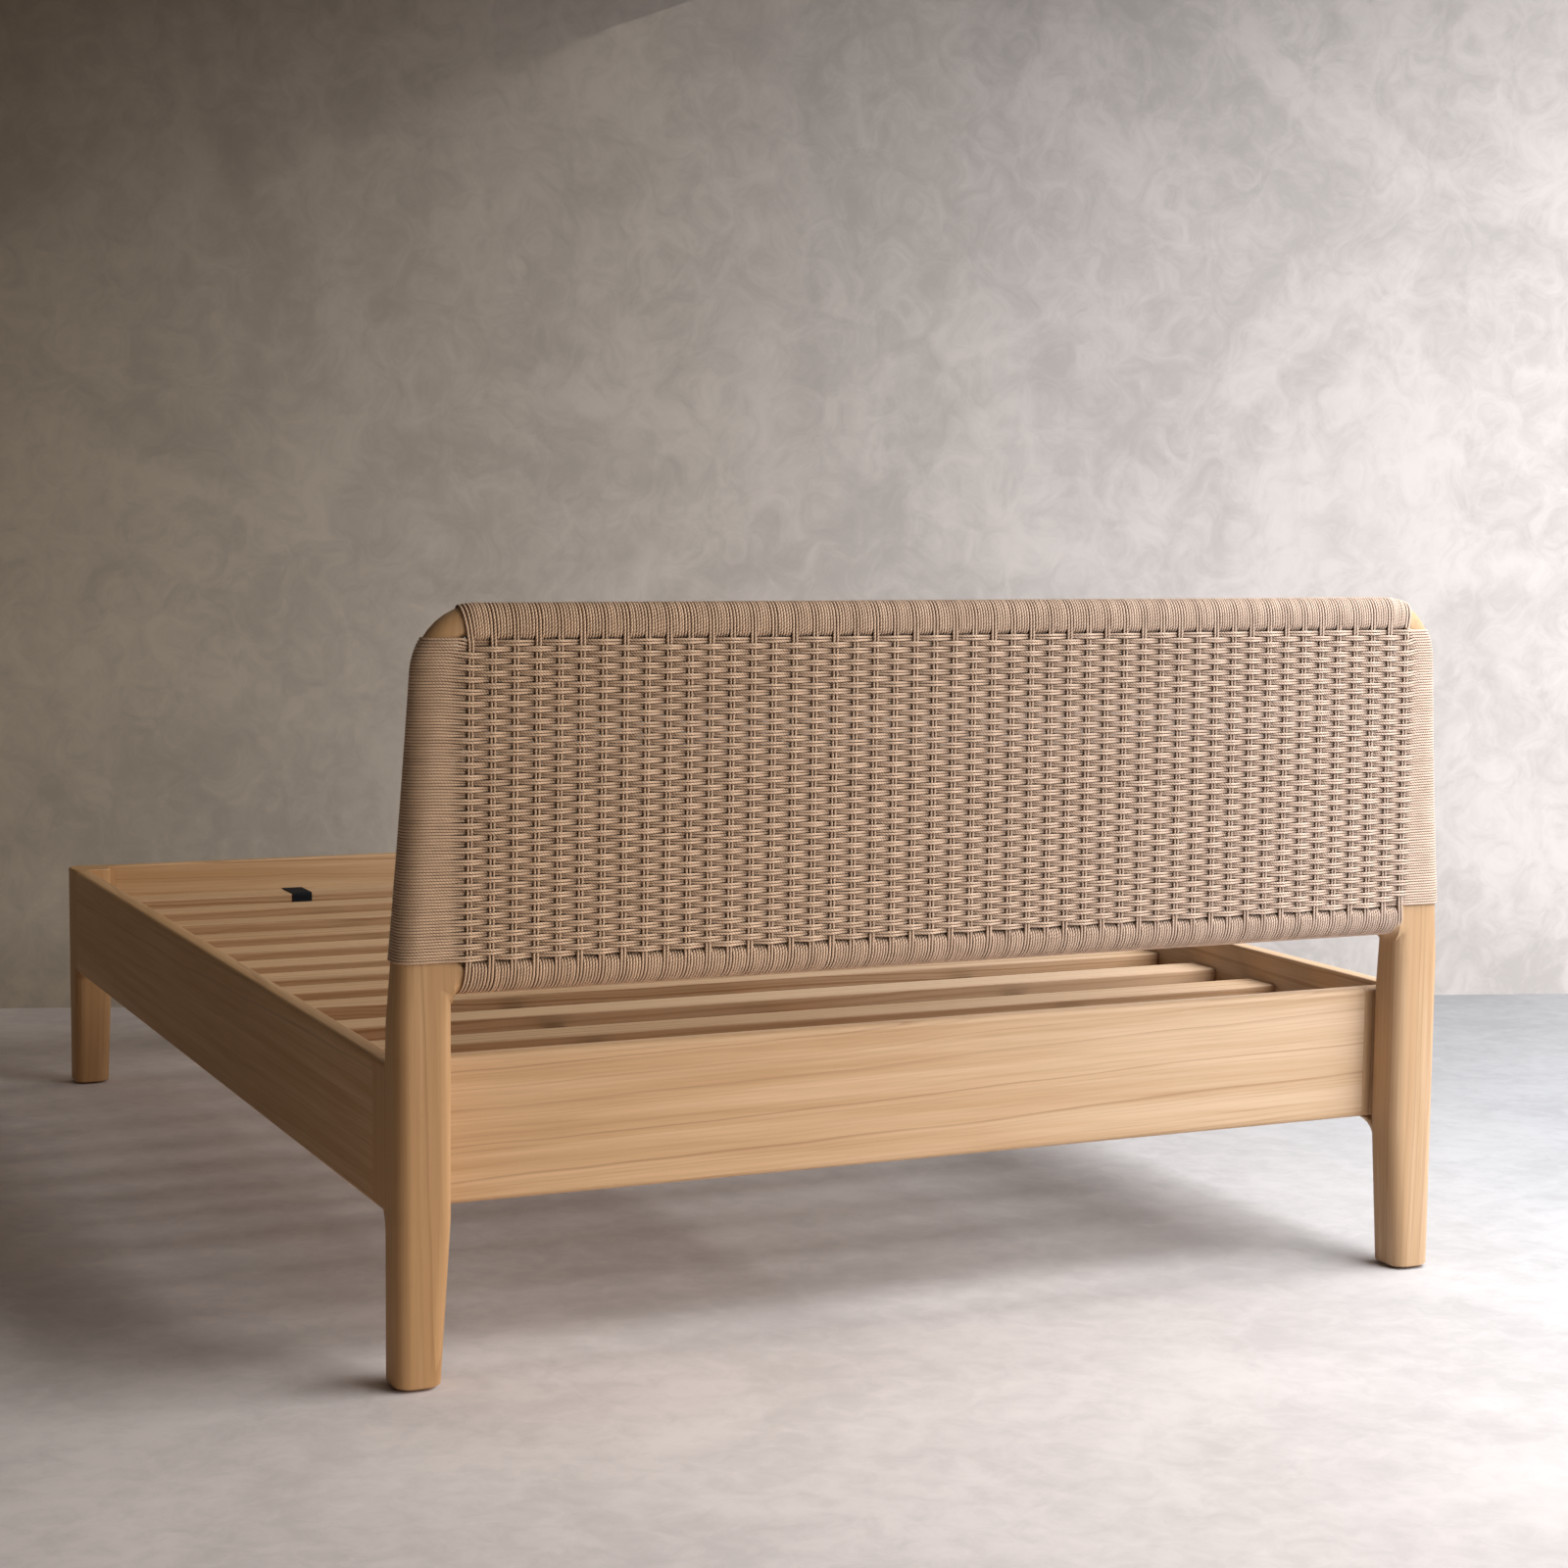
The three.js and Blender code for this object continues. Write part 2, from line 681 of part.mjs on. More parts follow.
function centreLeg() {
  const half = centreLegWidth / 2;
  const ring = evenRing([-half, centreLegY - half], [half, centreLegY + half], centreLegEdge);
  return joinAndCut([loft([alongZ(legFloor, ring), alongZ(beamFoot - fitGap, ring)])],
    [centreStud(fitGap), glidePinHole(0, centreLegY)]);
}

function centreStud(grow = 0) {
  const half = studLength / 2 + grow;
  const stud = turned([[0, -half], [studRadius + grow, -half], [studRadius + grow, half], [0, half]]);
  stud.translate(0, centreLegY, beamFoot);
  return stud;
}

// A steel shoe screwed to a cross rail: the beam drops into it. It opens along +Y or -Y.
function beamHanger(face, direction) {
  const side = beamWidth / 2 + fitGap;
  const foot = beamFoot - fitGap;
  const at = (near, far) => [face + direction * near, face + direction * far].sort((a, b) => a - b);
  const plate = at(fitGap, fitGap + hangerThickness);
  const reach = at(fitGap, fitGap + hangerLength);
  const wall = hangerThickness;
  const cheek = (sign) => {
    const [low, high] = [sign * side, sign * (side + wall)].sort((a, b) => a - b);
    return boxBetween([low, reach[0], foot - wall], [high, reach[1], beamTop]);
  };
  return joinAndCut([
    boxBetween([-side - hangerFlange, plate[0], foot - wall], [side + hangerFlange, plate[1], beamTop]),
    boxBetween([-side - wall, reach[0], foot - wall], [side + wall, reach[1], foot]),
    cheek(-1), cheek(1),
  ]);
}

// Steel brackets in the four corners. Each has an arm on the side rail and one on the post or leg.
const bracketTop = ledgerTop - ledgerHeight - bracketBelowLedger;
const bracketStart = railThickness + fitGap;
const boltHeight = bracketTop - bracketHeight / 2;

function cornerBracket(cornerY, direction) {
  const y = (reach) => cornerY + direction * (fitGap + reach);
  const outline = new THREE.Shape([
    new THREE.Vector2(bracketStart, y(0)),
    new THREE.Vector2(bracketStart + bracketCrossArm, y(0)),
    new THREE.Vector2(bracketStart + bracketCrossArm, y(bracketThickness)),
    new THREE.Vector2(bracketStart + bracketThickness, y(bracketThickness)),
    new THREE.Vector2(bracketStart + bracketThickness, y(bracketSideArm)),
    new THREE.Vector2(bracketStart, y(bracketSideArm)),
  ]);
  const angle = new THREE.ExtrudeGeometry(outline, { depth: bracketHeight, bevelEnabled: false });
  angle.translate(0, 0, bracketTop - bracketHeight);
  return joinAndCut([angle],
    [boltHole(sideArmBolt(cornerY, direction)), boltHole(crossArmBolt(cornerY, direction))]);
}

// Where a bolt stands: it lies along +Z until its frame turns it into the wood.
function sideArmBolt(cornerY, direction) {
  const y = cornerY + direction * boltAlongSideArm;
  return new THREE.Matrix4().makeTranslation(railThickness, y, boltHeight)
    .multiply(new THREE.Matrix4().makeRotationY(Math.PI / 2));
}

function crossArmBolt(cornerY, direction) {
  return new THREE.Matrix4().makeTranslation(railThickness + boltAlongCrossArm, cornerY, boltHeight)
    .multiply(new THREE.Matrix4().makeRotationX(-direction * Math.PI / 2));
}

const boltSeat = bracketThickness + 2 * fitGap;
const boltTip = boltSeat - boltLength;

function bolt(frame) {
  const head = boltSeat + boltHeadHeight;
  const body = turned([
    [0, boltTip], [boltRadius, boltTip], [boltRadius, boltSeat], [boltHeadRadius, boltSeat],
    [boltHeadRadius, head], [boltSocketRadius, head], [boltSocketRadius, head - boltSocketDepth],
    [0, head - boltSocketDepth],
  ]);
  return body.applyMatrix4(frame);
}

function boltHole(frame) {
  const radius = boltRadius + fitGap;
  const hole = turned([
    [0, boltTip - fitGap], [radius, boltTip - fitGap], [radius, boltSeat + overrun],
    [0, boltSeat + overrun],
  ]);
  return hole.applyMatrix4(frame);
}

// Glides, pinned under the legs
function glide(x, y, radius) {
  const top = glideThickness;
  const disc = turned([
    [0, 0], [radius - glideEdge, 0], [radius, glideEdge], [radius, top], [glidePinRadius, top],
    [glidePinRadius, top + glidePinLength], [0, top + glidePinLength],
  ]);
  disc.translate(x, y, 0);
  return disc;
}

// The headboard
const sides = [['left', -1], ['right', 1]];
for (const [word, side] of sides) {
  addPiece(`headboard_post_${word}`, wood, headboardPost(), side);
  addPiece(`post_cord_wrap_${word}`, cord, postWrap(), side);
}
addPiece('headboard_top_rail', wood, topRail());
addPiece('headboard_bottom_rail', wood, bottomRail());
addPiece('top_rail_cord_wrap', cord, topWrap());
addPiece('bottom_rail_cord_wrap', cord, bottomWrap());
addPiece('woven_sheet_back', cord, wovenSheet(() => [-weaveBack, -fitGap]));
addPiece('woven_sheet_front', cord, wovenSheet((z) => [frontDepth(z) + fitGap, frontDepth(z) + weaveBack]));

// The base
addPiece('back_rail', wood, crossRail(headFaces, true));
addPiece('foot_rail', wood, crossRail(footFaces, false));
for (const [word, side] of sides) {
  addPiece(`foot_leg_${word}`, wood, footLeg(), side);
  addPiece(`side_rail_${word}`, wood, sideRail(), side);
  addPiece(`slat_ledger_${word}`, slatWood, ledger(), side);
  addPiece(`slat_strap_${word}`, webbing, strap(), side);
  for (const [end, cornerY, direction] of [['head', headRailFace, 1], ['foot', footLegFace, -1]]) {
    addPiece(`corner_bracket_${end}_${word}`, steel, cornerBracket(cornerY, direction), side);
    addPiece(`side_rail_bolt_${end}_${word}`, steel, bolt(sideArmBolt(cornerY, direction)), side);
    addPiece(`corner_bolt_${end}_${word}`, steel, bolt(crossArmBolt(cornerY, direction)), side);
  }
  addPiece(`glide_head_${word}`, felt, glide(headGlideX, postDepth / 2, glideRadius), side);
  addPiece(`glide_foot_${word}`, felt,
    glide(legFloorWidth / 2, bedLength - legFloorWidth / 2, glideRadius), side);
}

// Slats and the beam under them
slatPlaces.forEach((place, i) => {
  addPiece(`slat_${String(i + 1).padStart(2, '0')}`, slatWood, slat(place));
});
addPiece('centre_beam', slatWood, centreBeam());
addPiece('centre_leg', slatWood, centreLeg());
addPiece('centre_leg_stud', steel, centreStud());
addPiece('beam_hanger_head', steel, beamHanger(headRailFace, 1));
addPiece('beam_hanger_foot', steel, beamHanger(footRailFace, -1));
addPiece('glide_centre', felt, glide(0, centreLegY, centreGlideRadius));

export default bed;
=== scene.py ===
"""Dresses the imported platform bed: pale wood, twisted paper cord, webbing, steel and felt.

Every length is in metres unless its name ends in _MM. X runs across the bed, Y from the
headboard to the foot and Z up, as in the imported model.
"""
import json
import math
import random
import re
from functools import partial

import bpy
import numpy as np
from mathutils import Matrix, Vector

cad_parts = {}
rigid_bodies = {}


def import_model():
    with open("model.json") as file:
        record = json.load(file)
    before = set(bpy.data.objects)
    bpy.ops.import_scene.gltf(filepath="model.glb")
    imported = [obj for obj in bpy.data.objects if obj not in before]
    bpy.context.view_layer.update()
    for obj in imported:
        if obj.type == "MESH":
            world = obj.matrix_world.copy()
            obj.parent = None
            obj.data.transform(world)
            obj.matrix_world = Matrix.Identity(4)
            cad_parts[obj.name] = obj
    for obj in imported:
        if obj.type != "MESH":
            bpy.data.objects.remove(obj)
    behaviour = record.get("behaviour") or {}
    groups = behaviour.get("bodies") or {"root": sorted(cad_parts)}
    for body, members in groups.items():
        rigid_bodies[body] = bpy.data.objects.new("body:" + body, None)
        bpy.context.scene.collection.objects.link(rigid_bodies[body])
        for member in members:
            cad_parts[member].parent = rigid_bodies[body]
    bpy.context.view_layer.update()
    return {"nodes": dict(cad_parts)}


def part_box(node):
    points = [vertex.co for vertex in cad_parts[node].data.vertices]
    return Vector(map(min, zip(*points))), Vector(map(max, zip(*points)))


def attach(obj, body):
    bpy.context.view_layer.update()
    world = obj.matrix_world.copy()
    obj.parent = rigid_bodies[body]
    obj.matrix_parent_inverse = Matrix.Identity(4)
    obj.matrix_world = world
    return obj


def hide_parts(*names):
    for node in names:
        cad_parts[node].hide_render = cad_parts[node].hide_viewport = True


for startup_object in list(bpy.data.objects):
    bpy.data.objects.remove(startup_object)

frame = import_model()

bl_info = {
    "name": "Platform bed with woven headboard",
    "version": (1, 0, 0),
    "blender": (4, 5, 0),
    "location": "View3D > Sidebar > Bed",
    "description": "Cords, grain and finishes for the packed platform bed",
    "category": "Object",
}

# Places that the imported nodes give
POST_LOW, POST_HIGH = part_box("headboard_post_left")

MM = 0.001
HALF_BED = -POST_LOW.x
BACK_PLANE = POST_LOW.y
HEADBOARD_TOP = POST_HIGH.z

# The headboard frame's sections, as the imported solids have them
RAIL_TOP = 416 * MM
POST_WIDTH = 76 * MM
POST_DEPTH = 68 * MM
POST_TOP_DEPTH = 34 * MM
POST_CORNER = 20 * MM
TAPER_START = 470 * MM
OUTER_SLOPE = 0.06
CORNER_RADIUS = 88 * MM
CORNER_CENTRE_Z = HEADBOARD_TOP - CORNER_RADIUS
CORNER_CENTRE_X = (OUTER_SLOPE * (CORNER_CENTRE_Z - TAPER_START)
                   + CORNER_RADIUS / math.cos(math.atan(OUTER_SLOPE)))
TOP_RAIL_FOOT = HEADBOARD_TOP - 41 * MM
BOTTOM_RAIL_FOOT = 507 * MM
BOTTOM_RAIL_TOP = 545 * MM
BOTTOM_RAIL_ROUND = 28 * MM
RAIL_EDGE = 9 * MM
OUTER_ROUND_SHARE = 0.65
DEPTH_ROUND_SHARE = 0.49
WRAP_GAP = 0.3 * MM
POST_FLAT_END = POST_WIDTH - POST_CORNER * 0.6
CORNER_SHARE = 0.98  # of the round corner's radius, beyond which its cords stay level


def between(value, low, high):
    """How far a value is on its way from low to high, from 0 to 1."""
    return min(1.0, max(0.0, (value - low) / (high - low)))


def front_depth(z):
    """How far the headboard's front face lies from its back plane at a height."""
    return POST_DEPTH + (POST_TOP_DEPTH - POST_DEPTH) * between(z, RAIL_TOP, CORNER_CENTRE_Z)


def outer_reaches(z):
    """How far a post's outer edges are rounded off, along its width and its depth."""
    rise = between(z, BOTTOM_RAIL_TOP, CORNER_CENTRE_Z)
    width = POST_WIDTH - OUTER_SLOPE * max(0.0, min(z, CORNER_CENTRE_Z) - TAPER_START)
    across = POST_CORNER + (width * OUTER_ROUND_SHARE - POST_CORNER) * rise
    deep = POST_CORNER + (front_depth(z) * DEPTH_ROUND_SHARE - POST_CORNER) * rise
    return across, deep


def rail_top_at(x):
    """The height of the top rail's upper face at a place from the left outer face."""
    short = max(0.0, CORNER_CENTRE_X - min(x, 2 * HALF_BED - x))
    short = min(short, CORNER_RADIUS * CORNER_SHARE)
    return CORNER_CENTRE_Z + math.sqrt(CORNER_RADIUS ** 2 - short ** 2)


# Sizes and colours that a user may change
SWATCH = {"size": 3, "min": 0, "max": 1, "subtype": "COLOR"}


class CordSettings(bpy.types.PropertyGroup):
    """The headboard's cord and how it is laid."""

    diameter: bpy.props.FloatProperty(
        name="Cord diameter", description="Thickness of the paper cord",
        default=3.8 * MM, min=2 * MM, max=6 * MM, unit="LENGTH")
    lay: bpy.props.FloatProperty(
        name="Lay", description="Length of cord in which the plies turn once",
        default=12.6 * MM, min=4 * MM, max=40 * MM, unit="LENGTH")
    warp_pairs: bpy.props.IntProperty(
        name="Warp pairs", description="Pairs of upright cords", default=49, min=3, max=99)
    weft_rows: bpy.props.IntProperty(
        name="Weft rows", description="Rows of paired level cords", default=53, min=3, max=99)
    warp_start: bpy.props.FloatProperty(
        name="Warp start", description="Place of the first warp pair from the left outer face",
        default=95.2 * MM, unit="LENGTH")
    warp_end: bpy.props.FloatProperty(
        name="Warp end", description="Place of the last warp pair from the left outer face",
        default=1518.9 * MM, unit="LENGTH")
    warp_lean: bpy.props.FloatProperty(
        name="Warp lean", description="How far the outer warps lean in from foot to top",
        default=3.6 * MM, unit="LENGTH")
    warp_pair_gap: bpy.props.FloatProperty(
        name="Warp pair spacing", description="Distance between the two cords of a warp pair",
        default=4.7 * MM, unit="LENGTH")
    weave_low: bpy.props.FloatProperty(
        name="Weave foot", description="Height at which the weave starts",
        default=549.0 * MM, unit="LENGTH")
    weave_high: bpy.props.FloatProperty(
        name="Weave top", description="Height at which the weave ends",
        default=953.0 * MM, unit="LENGTH")
    post_wrap_high: bpy.props.FloatProperty(
        name="Post winding top", description="Height at which the post windings end",
        default=956.5 * MM, unit="LENGTH")
    filler_turns: bpy.props.IntProperty(
        name="Filler turns", description="Turns round the rails between two warp pairs",
        default=5, min=0, max=12)
    sides: bpy.props.IntProperty(
        name="Sides", description="Sides of each cord's section", default=6, min=4, max=16)
    pale: bpy.props.FloatVectorProperty(
        name="Pale cord", description="Colour of the cord's lit plies",
        default=(0.93, 0.68, 0.50), **SWATCH)
    # The grooves' colour is painted shade, between the plies and on the cords' sides.
    shade: bpy.props.FloatVectorProperty(
        name="Cord grooves", description="Colour between the plies",
        default=(0.165, 0.083, 0.037), **SWATCH)


class WoodSettings(bpy.types.PropertyGroup):
    """Colours and grain of the bed's wood."""

    pale: bpy.props.FloatVectorProperty(
        name="Pale wood", description="Colour of the early wood",
        default=(0.68, 0.46, 0.28), **SWATCH)
    honey: bpy.props.FloatVectorProperty(
        name="Honey wood", description="Colour of the warmer stretches",
        default=(0.51, 0.305, 0.15), **SWATCH)
    dark: bpy.props.FloatVectorProperty(
        name="Late wood", description="Colour of the grain lines",
        default=(0.30, 0.15, 0.06), **SWATCH)
    ring_width: bpy.props.FloatProperty(
        name="Ring width", description="Spacing of the growth rings",
        default=6.5 * MM, min=1 * MM, max=30 * MM, unit="LENGTH")


class StageSettings(bpy.types.PropertyGroup):
    """Floor, backdrop and lamps."""

    floor: bpy.props.FloatVectorProperty(
        name="Floor", description="Colour of the floor",
        default=(0.54, 0.53, 0.53), **SWATCH)
    wall: bpy.props.FloatVectorProperty(
        name="Backdrop", description="Colour of the backdrop",
        default=(0.52, 0.485, 0.46), **SWATCH)
    key_power: bpy.props.FloatProperty(
        name="Key lamp", description="Power of the large soft lamp",
        default=660, min=0, unit="POWER")
    foot_power: bpy.props.FloatProperty(
        name="Foot lamp", description="Power of the weak lamp over the foot",
        default=7, min=0, unit="POWER")
    fill_strength: bpy.props.FloatProperty(
        name="Fill", description="Strength of the even light from all round",
        default=0.024, min=0)


# Node helpers
def add(tree, kind, **values):
    """Adds a node to the tree and sets its properties."""
    node = tree.nodes.new(kind)
    for key, value in values.items():
        setattr(node, key, value)
    return node


def put(tree, socket, value):
    """Links an input to another node's output, or sets it to a number or a colour."""
    if isinstance(value, bpy.types.NodeSocket):
        tree.links.new(value, socket)
    elif isinstance(value, (int, float)):
        socket.default_value = value
    else:
        socket.default_value = (*value[:3], 1.0)


def feed(tree, node, **values):
    """Puts values into a node's named inputs; an underscore stands for a space."""
    for label, value in values.items():
        put(tree, node.inputs[label.replace("_", " ")], value)
    return node


def maths(operation, tree, a, b=None, c=None, clamp=False):
    """The result of a math node."""
    node = add(tree, "ShaderNodeMath", operation=operation, use_clamp=clamp)
    for socket, value in zip(node.inputs, (a, b, c)):
        if value is not None:
            put(tree, socket, value)
    return node.outputs[0]


plus, minus, times = (partial(maths, name) for name in ("ADD", "SUBTRACT", "MULTIPLY"))
times_plus = partial(maths, "MULTIPLY_ADD")


def swung(tree, value, swing, weight, middle=0.5, clamp=False):
    """A value plus the weighted swing of another about its middle."""
    offset = times(tree, minus(tree, swing, middle), weight)
    return plus(tree, value, offset, clamp=clamp)


def smooth_step(tree, value, start, end):
    """A soft step of a value from start to end."""
    node = add(tree, "ShaderNodeMapRange", interpolation_type="SMOOTHSTEP")
    return feed(tree, node, Value=value, From_Min=start, From_Max=end).outputs["Result"]


def spot(tree, x, y=0.0, z=0.0):
    """Joins three values to a vector."""
    return feed(tree, add(tree, "ShaderNodeCombineXYZ"), X=x, Y=y, Z=z).outputs[0]


def split(tree, vector):
    """A vector's three values."""
    return [*feed(tree, add(tree, "ShaderNodeSeparateXYZ"), Vector=vector).outputs]


def noise(tree, place, scale, detail, roughness, swirl=0.0):
    """A noise value from 0 to 1 at a place."""
    return feed(tree, add(tree, "ShaderNodeTexNoise"), Vector=place, Scale=scale, Detail=detail,
                Roughness=roughness, Distortion=swirl).outputs["Fac"]


def mixed(tree, share, a, b, blend="MIX"):
    """Mixes two colours by a share."""
    node = add(tree, "ShaderNodeMix", data_type="RGBA", blend_type=blend)
    for place, value in ((0, share), (6, a), (7, b)):
        put(tree, node.inputs[place], value)
    return node.outputs[2]


def new_group(name, inputs, outputs):
    """An empty shader node group with named sockets, and its input and output nodes."""
    tree = bpy.data.node_groups.new(name, "ShaderNodeTree")
    for label, kind, *default in inputs:
        socket = tree.interface.new_socket(label, in_out="INPUT", socket_type=kind)
        if default:
            socket.default_value = default[0]
    for label, kind in outputs:
        tree.interface.new_socket(label, in_out="OUTPUT", socket_type=kind)
    return tree, add(tree, "NodeGroupInput"), add(tree, "NodeGroupOutput")


def placed_group(tree, group, **values):
    """Places a group in a material and puts values into its named inputs."""
    node = add(tree, "ShaderNodeGroup", node_tree=bpy.data.node_groups[group])
    return feed(tree, node, **values)


def new_material(name, roughness, specular, bump_strength, bump_depth, sheen=0.0):
    """A new material's tree, and a function that links its surface and gives the material."""
    material = bpy.data.materials.new(name)
    material.use_nodes = True
    tree = material.node_tree
    bump = feed(tree, add(tree, "ShaderNodeBump"), Strength=bump_strength, Distance=bump_depth)
    shader = feed(tree, tree.nodes["Principled BSDF"], Roughness=roughness,
                  Specular_IOR_Level=specular, Sheen_Weight=sheen, Normal=bump.outputs["Normal"])

    def finished(colour, height, **others):
        """The material, with its colour, bump and any other inputs of its shader linked."""
        feed(tree, shader, Base_Color=colour, **others)
        feed(tree, bump, Height=height)
        return material

    return tree, finished


COLOUR, NUMBER, VECTOR = "NodeSocketColor", "NodeSocketFloat", "NodeSocketVector"

# The noises in a board: stretch along it and fineness across it, shift, detail, roughness
GRAIN_NOISES = {
    "sway": (1.3, 4.0, 0.0, 3, 0.5), "ripple": (5.0, 9.0, 7.3, 3, 0.55),
    "patch": (3.0, 30.0, 3.1, 2, 0.5), "fibre": (7.0, 380.0, 1.7, 4, 0.6),
    "streak": (1.3, 45.0, 5.9, 4, 0.62), "pore": (60.0, 1400.0, 0.0, 1, 0.5),
}
# How far the tree's heart strays from a straight line, and its rings from round ones
HEART_SWAY, HEART_RIPPLE, RING_RIPPLE = 35 * MM, 6 * MM, 4 * MM
# The share of a ring at which its late wood starts, is full and ends
LATE_START, LATE_FULL, LATE_END = 0.45, 0.93, 1.0


def wood_grain_group():
    """Growth rings, fibres and pores along a board."""
    tree, start, end = new_group(
        "wood_grain",
        [("Along", NUMBER), ("Across", NUMBER), ("Deep", NUMBER), ("Pith Across", NUMBER, 0.02),
         ("Pith Deep", NUMBER, 0.12), ("Tilt", NUMBER, 0.02), ("Seed", NUMBER),
         ("Ring Width", NUMBER, 0.005), ("Contrast", NUMBER, 0.5), ("Tone", NUMBER, 0.5),
         ("Shade", NUMBER), ("Pale", COLOUR), ("Honey", COLOUR), ("Dark", COLOUR)],
        [("Color", COLOUR), ("Roughness", NUMBER), ("Height", NUMBER)])
    get = start.outputs
    across, deep, seed = get["Across"], get["Deep"], get["Seed"]

    def board_noise(name):
        """A noise that is drawn out along the board."""
        stretch, fineness, shift, detail, roughness = GRAIN_NOISES[name]
        place = spot(tree, times_plus(tree, get["Along"], stretch, plus(tree, seed, shift)),
                     times(tree, across, fineness), times(tree, deep, fineness))
        return noise(tree, place, 1.0, detail, roughness)

    sway = minus(tree, board_noise("sway"), 0.5)
    ripple = minus(tree, board_noise("ripple"), 0.5)
    heart_x = times_plus(tree, sway, HEART_SWAY, minus(tree, across, get["Pith Across"]))
    heart_x = times_plus(tree, get["Along"], get["Tilt"], heart_x)
    heart_y = times_plus(tree, ripple, HEART_RIPPLE, minus(tree, deep, get["Pith Deep"]))
    far = plus(tree, times(tree, heart_x, heart_x), times(tree, heart_y, heart_y))
    far = times_plus(tree, ripple, RING_RIPPLE, maths("SQRT", tree, far))
    uneven = noise(tree, spot(tree, far, seed), 48.0, 2, 0.6)
    rings = times_plus(tree, uneven, 3.2, maths("DIVIDE", tree, far, get["Ring Width"]))
    share = maths("FRACT", tree, rings)
    late = times(tree, smooth_step(tree, share, LATE_START, LATE_FULL),
                 minus(tree, 1.0, smooth_step(tree, share, LATE_FULL, LATE_END)))
    which = feed(tree, add(tree, "ShaderNodeTexWhiteNoise", noise_dimensions="1D"),
                 W=maths("FLOOR", tree, rings)).outputs["Value"]
    bold = plus(tree, maths("POWER", tree, which, 3.0), 0.16)
    late = times(tree, times(tree, late, bold), plus(tree, board_noise("patch"), 0.45))
    fibre = board_noise("fibre")
    pore = times(tree, smooth_step(tree, board_noise("pore"), 0.66, 0.74),
                 minus(tree, 1.0, share))
    warm = times_plus(tree, sway, 0.8, get["Tone"])
    warm = swung(tree, warm, board_noise("streak"), 2.8, clamp=True)
    # the Shade input is painted shade, which darkens like the late wood
    lines = times_plus(tree, late, get["Contrast"], get["Shade"])
    lines = swung(tree, lines, fibre, 0.4, middle=0.42)
    lines = times_plus(tree, pore, 0.25, lines, clamp=True)
    colour = mixed(tree, lines, mixed(tree, warm, get["Pale"], get["Honey"]), get["Dark"])
    rough = times_plus(tree, late, -0.08, times_plus(tree, fibre, 0.18, 0.46))
    height = minus(tree, times(tree, fibre, 0.6), times(tree, pore, 0.8))
    feed(tree, end, Color=colour, Roughness=rough, Height=times_plus(tree, late, 0.25, height))


# Painted shade on the cords' sides, in the weave's hollows and in the grooves between the plies
# Where round a cord the painted light starts and is full, as the cosine of the angle from its open
# side
PAINTED_LIT_SIDE = (0.12, 0.85)
PAINTED_HOLLOW_LIGHT = 0.48  # share of the light that reaches a cord in the weave's hollows
CROWN_POWER = 0.48  # the smaller, the narrower the grooves between the plies


def cord_twist_group():
    """Three plies turned about each other, with paper creases, uneven colour and painted shade."""
    tree, start, end = new_group(
        "cord_twist",
        [("Around", NUMBER), ("Along", NUMBER), ("Rise", NUMBER, 1), ("Lay", NUMBER, 0.0126),
         ("Plies", NUMBER, 3), ("Place", VECTOR), ("Pale", COLOUR), ("Shade", COLOUR)],
        [("Color", COLOUR), ("Roughness", NUMBER), ("Height", NUMBER)])
    get = start.outputs
    # painted shade on the cord's sides, towards its neighbours, and in the weave's hollows
    outward = maths("COSINE", tree, times(tree, get["Around"], 2 * math.pi))
    painted_light_share = times(tree, smooth_step(tree, outward, *PAINTED_LIT_SIDE),
                       times_plus(tree, get["Rise"], 1 - PAINTED_HOLLOW_LIGHT, PAINTED_HOLLOW_LIGHT))
    turn = plus(tree, get["Around"], maths("DIVIDE", tree, get["Along"], get["Lay"]))
    phase = times(tree, times(tree, turn, get["Plies"]), math.pi)
    # the plies' crowns; the grooves between them get the painted shade colour
    crown = maths("ABSOLUTE", tree, maths("SINE", tree, phase))
    creased = spot(tree, times(tree, turn, 24.0), times(tree, get["Along"], 180.0))
    crease = noise(tree, creased, 1.0, 2, 0.6)
    strand = noise(tree, spot(tree, times(tree, get["Along"], 9.0)), 1.0, 2, 0.5)
    lit = swung(tree, maths("POWER", tree, crown, CROWN_POWER), crease, 0.6)
    lit = swung(tree, lit, noise(tree, get["Place"], 38.0, 3, 0.6), 0.5)
    lit = swung(tree, lit, strand, 0.6, clamp=True)
    lit = times(tree, lit, painted_light_share)
    feed(tree, end, Color=mixed(tree, lit, get["Shade"], get["Pale"]),
         Roughness=times_plus(tree, crease, 0.2, 0.55),
         Height=times_plus(tree, crease, 0.18, crown))


def painted_light_tint_group():
    """Painted light: warmer on the bed's left, in its shade, and cooler on its right, in the
    daylight.
    """
    tree, start, end = new_group(
        "painted_light_tint",
        [("Across Bed", NUMBER), ("Color", COLOUR), ("Left", COLOUR), ("Right", COLOUR)],
        [("Color", COLOUR)])
    get = start.outputs
    share = smooth_step(tree, get["Across Bed"], -HALF_BED, HALF_BED)
    tint = mixed(tree, share, get["Left"], get["Right"])
    feed(tree, end, Color=mixed(tree, 1.0, get["Color"], tint, "MULTIPLY"))


# Painted light: warm shade on the bed's left and cool daylight on its right
LEFT_PAINTED_LIGHT, RIGHT_PAINTED_LIGHT = (1.07, 0.99, 0.855), (0.97, 1.02, 1.12)


def tinted_with_painted_light(tree, x, colour):
    """Gives a colour the shared painted-light tint for its place across the bed."""
    return placed_group(tree, "painted_light_tint", Across_Bed=x, Color=colour,
                        Left=LEFT_PAINTED_LIGHT, Right=RIGHT_PAINTED_LIGHT).outputs["Color"]


def object_place(tree):
    """The surface's place in the object's own space, in metres, as three values and a vector."""
    place = add(tree, "ShaderNodeTexCoord").outputs["Object"]
    return [*split(tree, place), place]


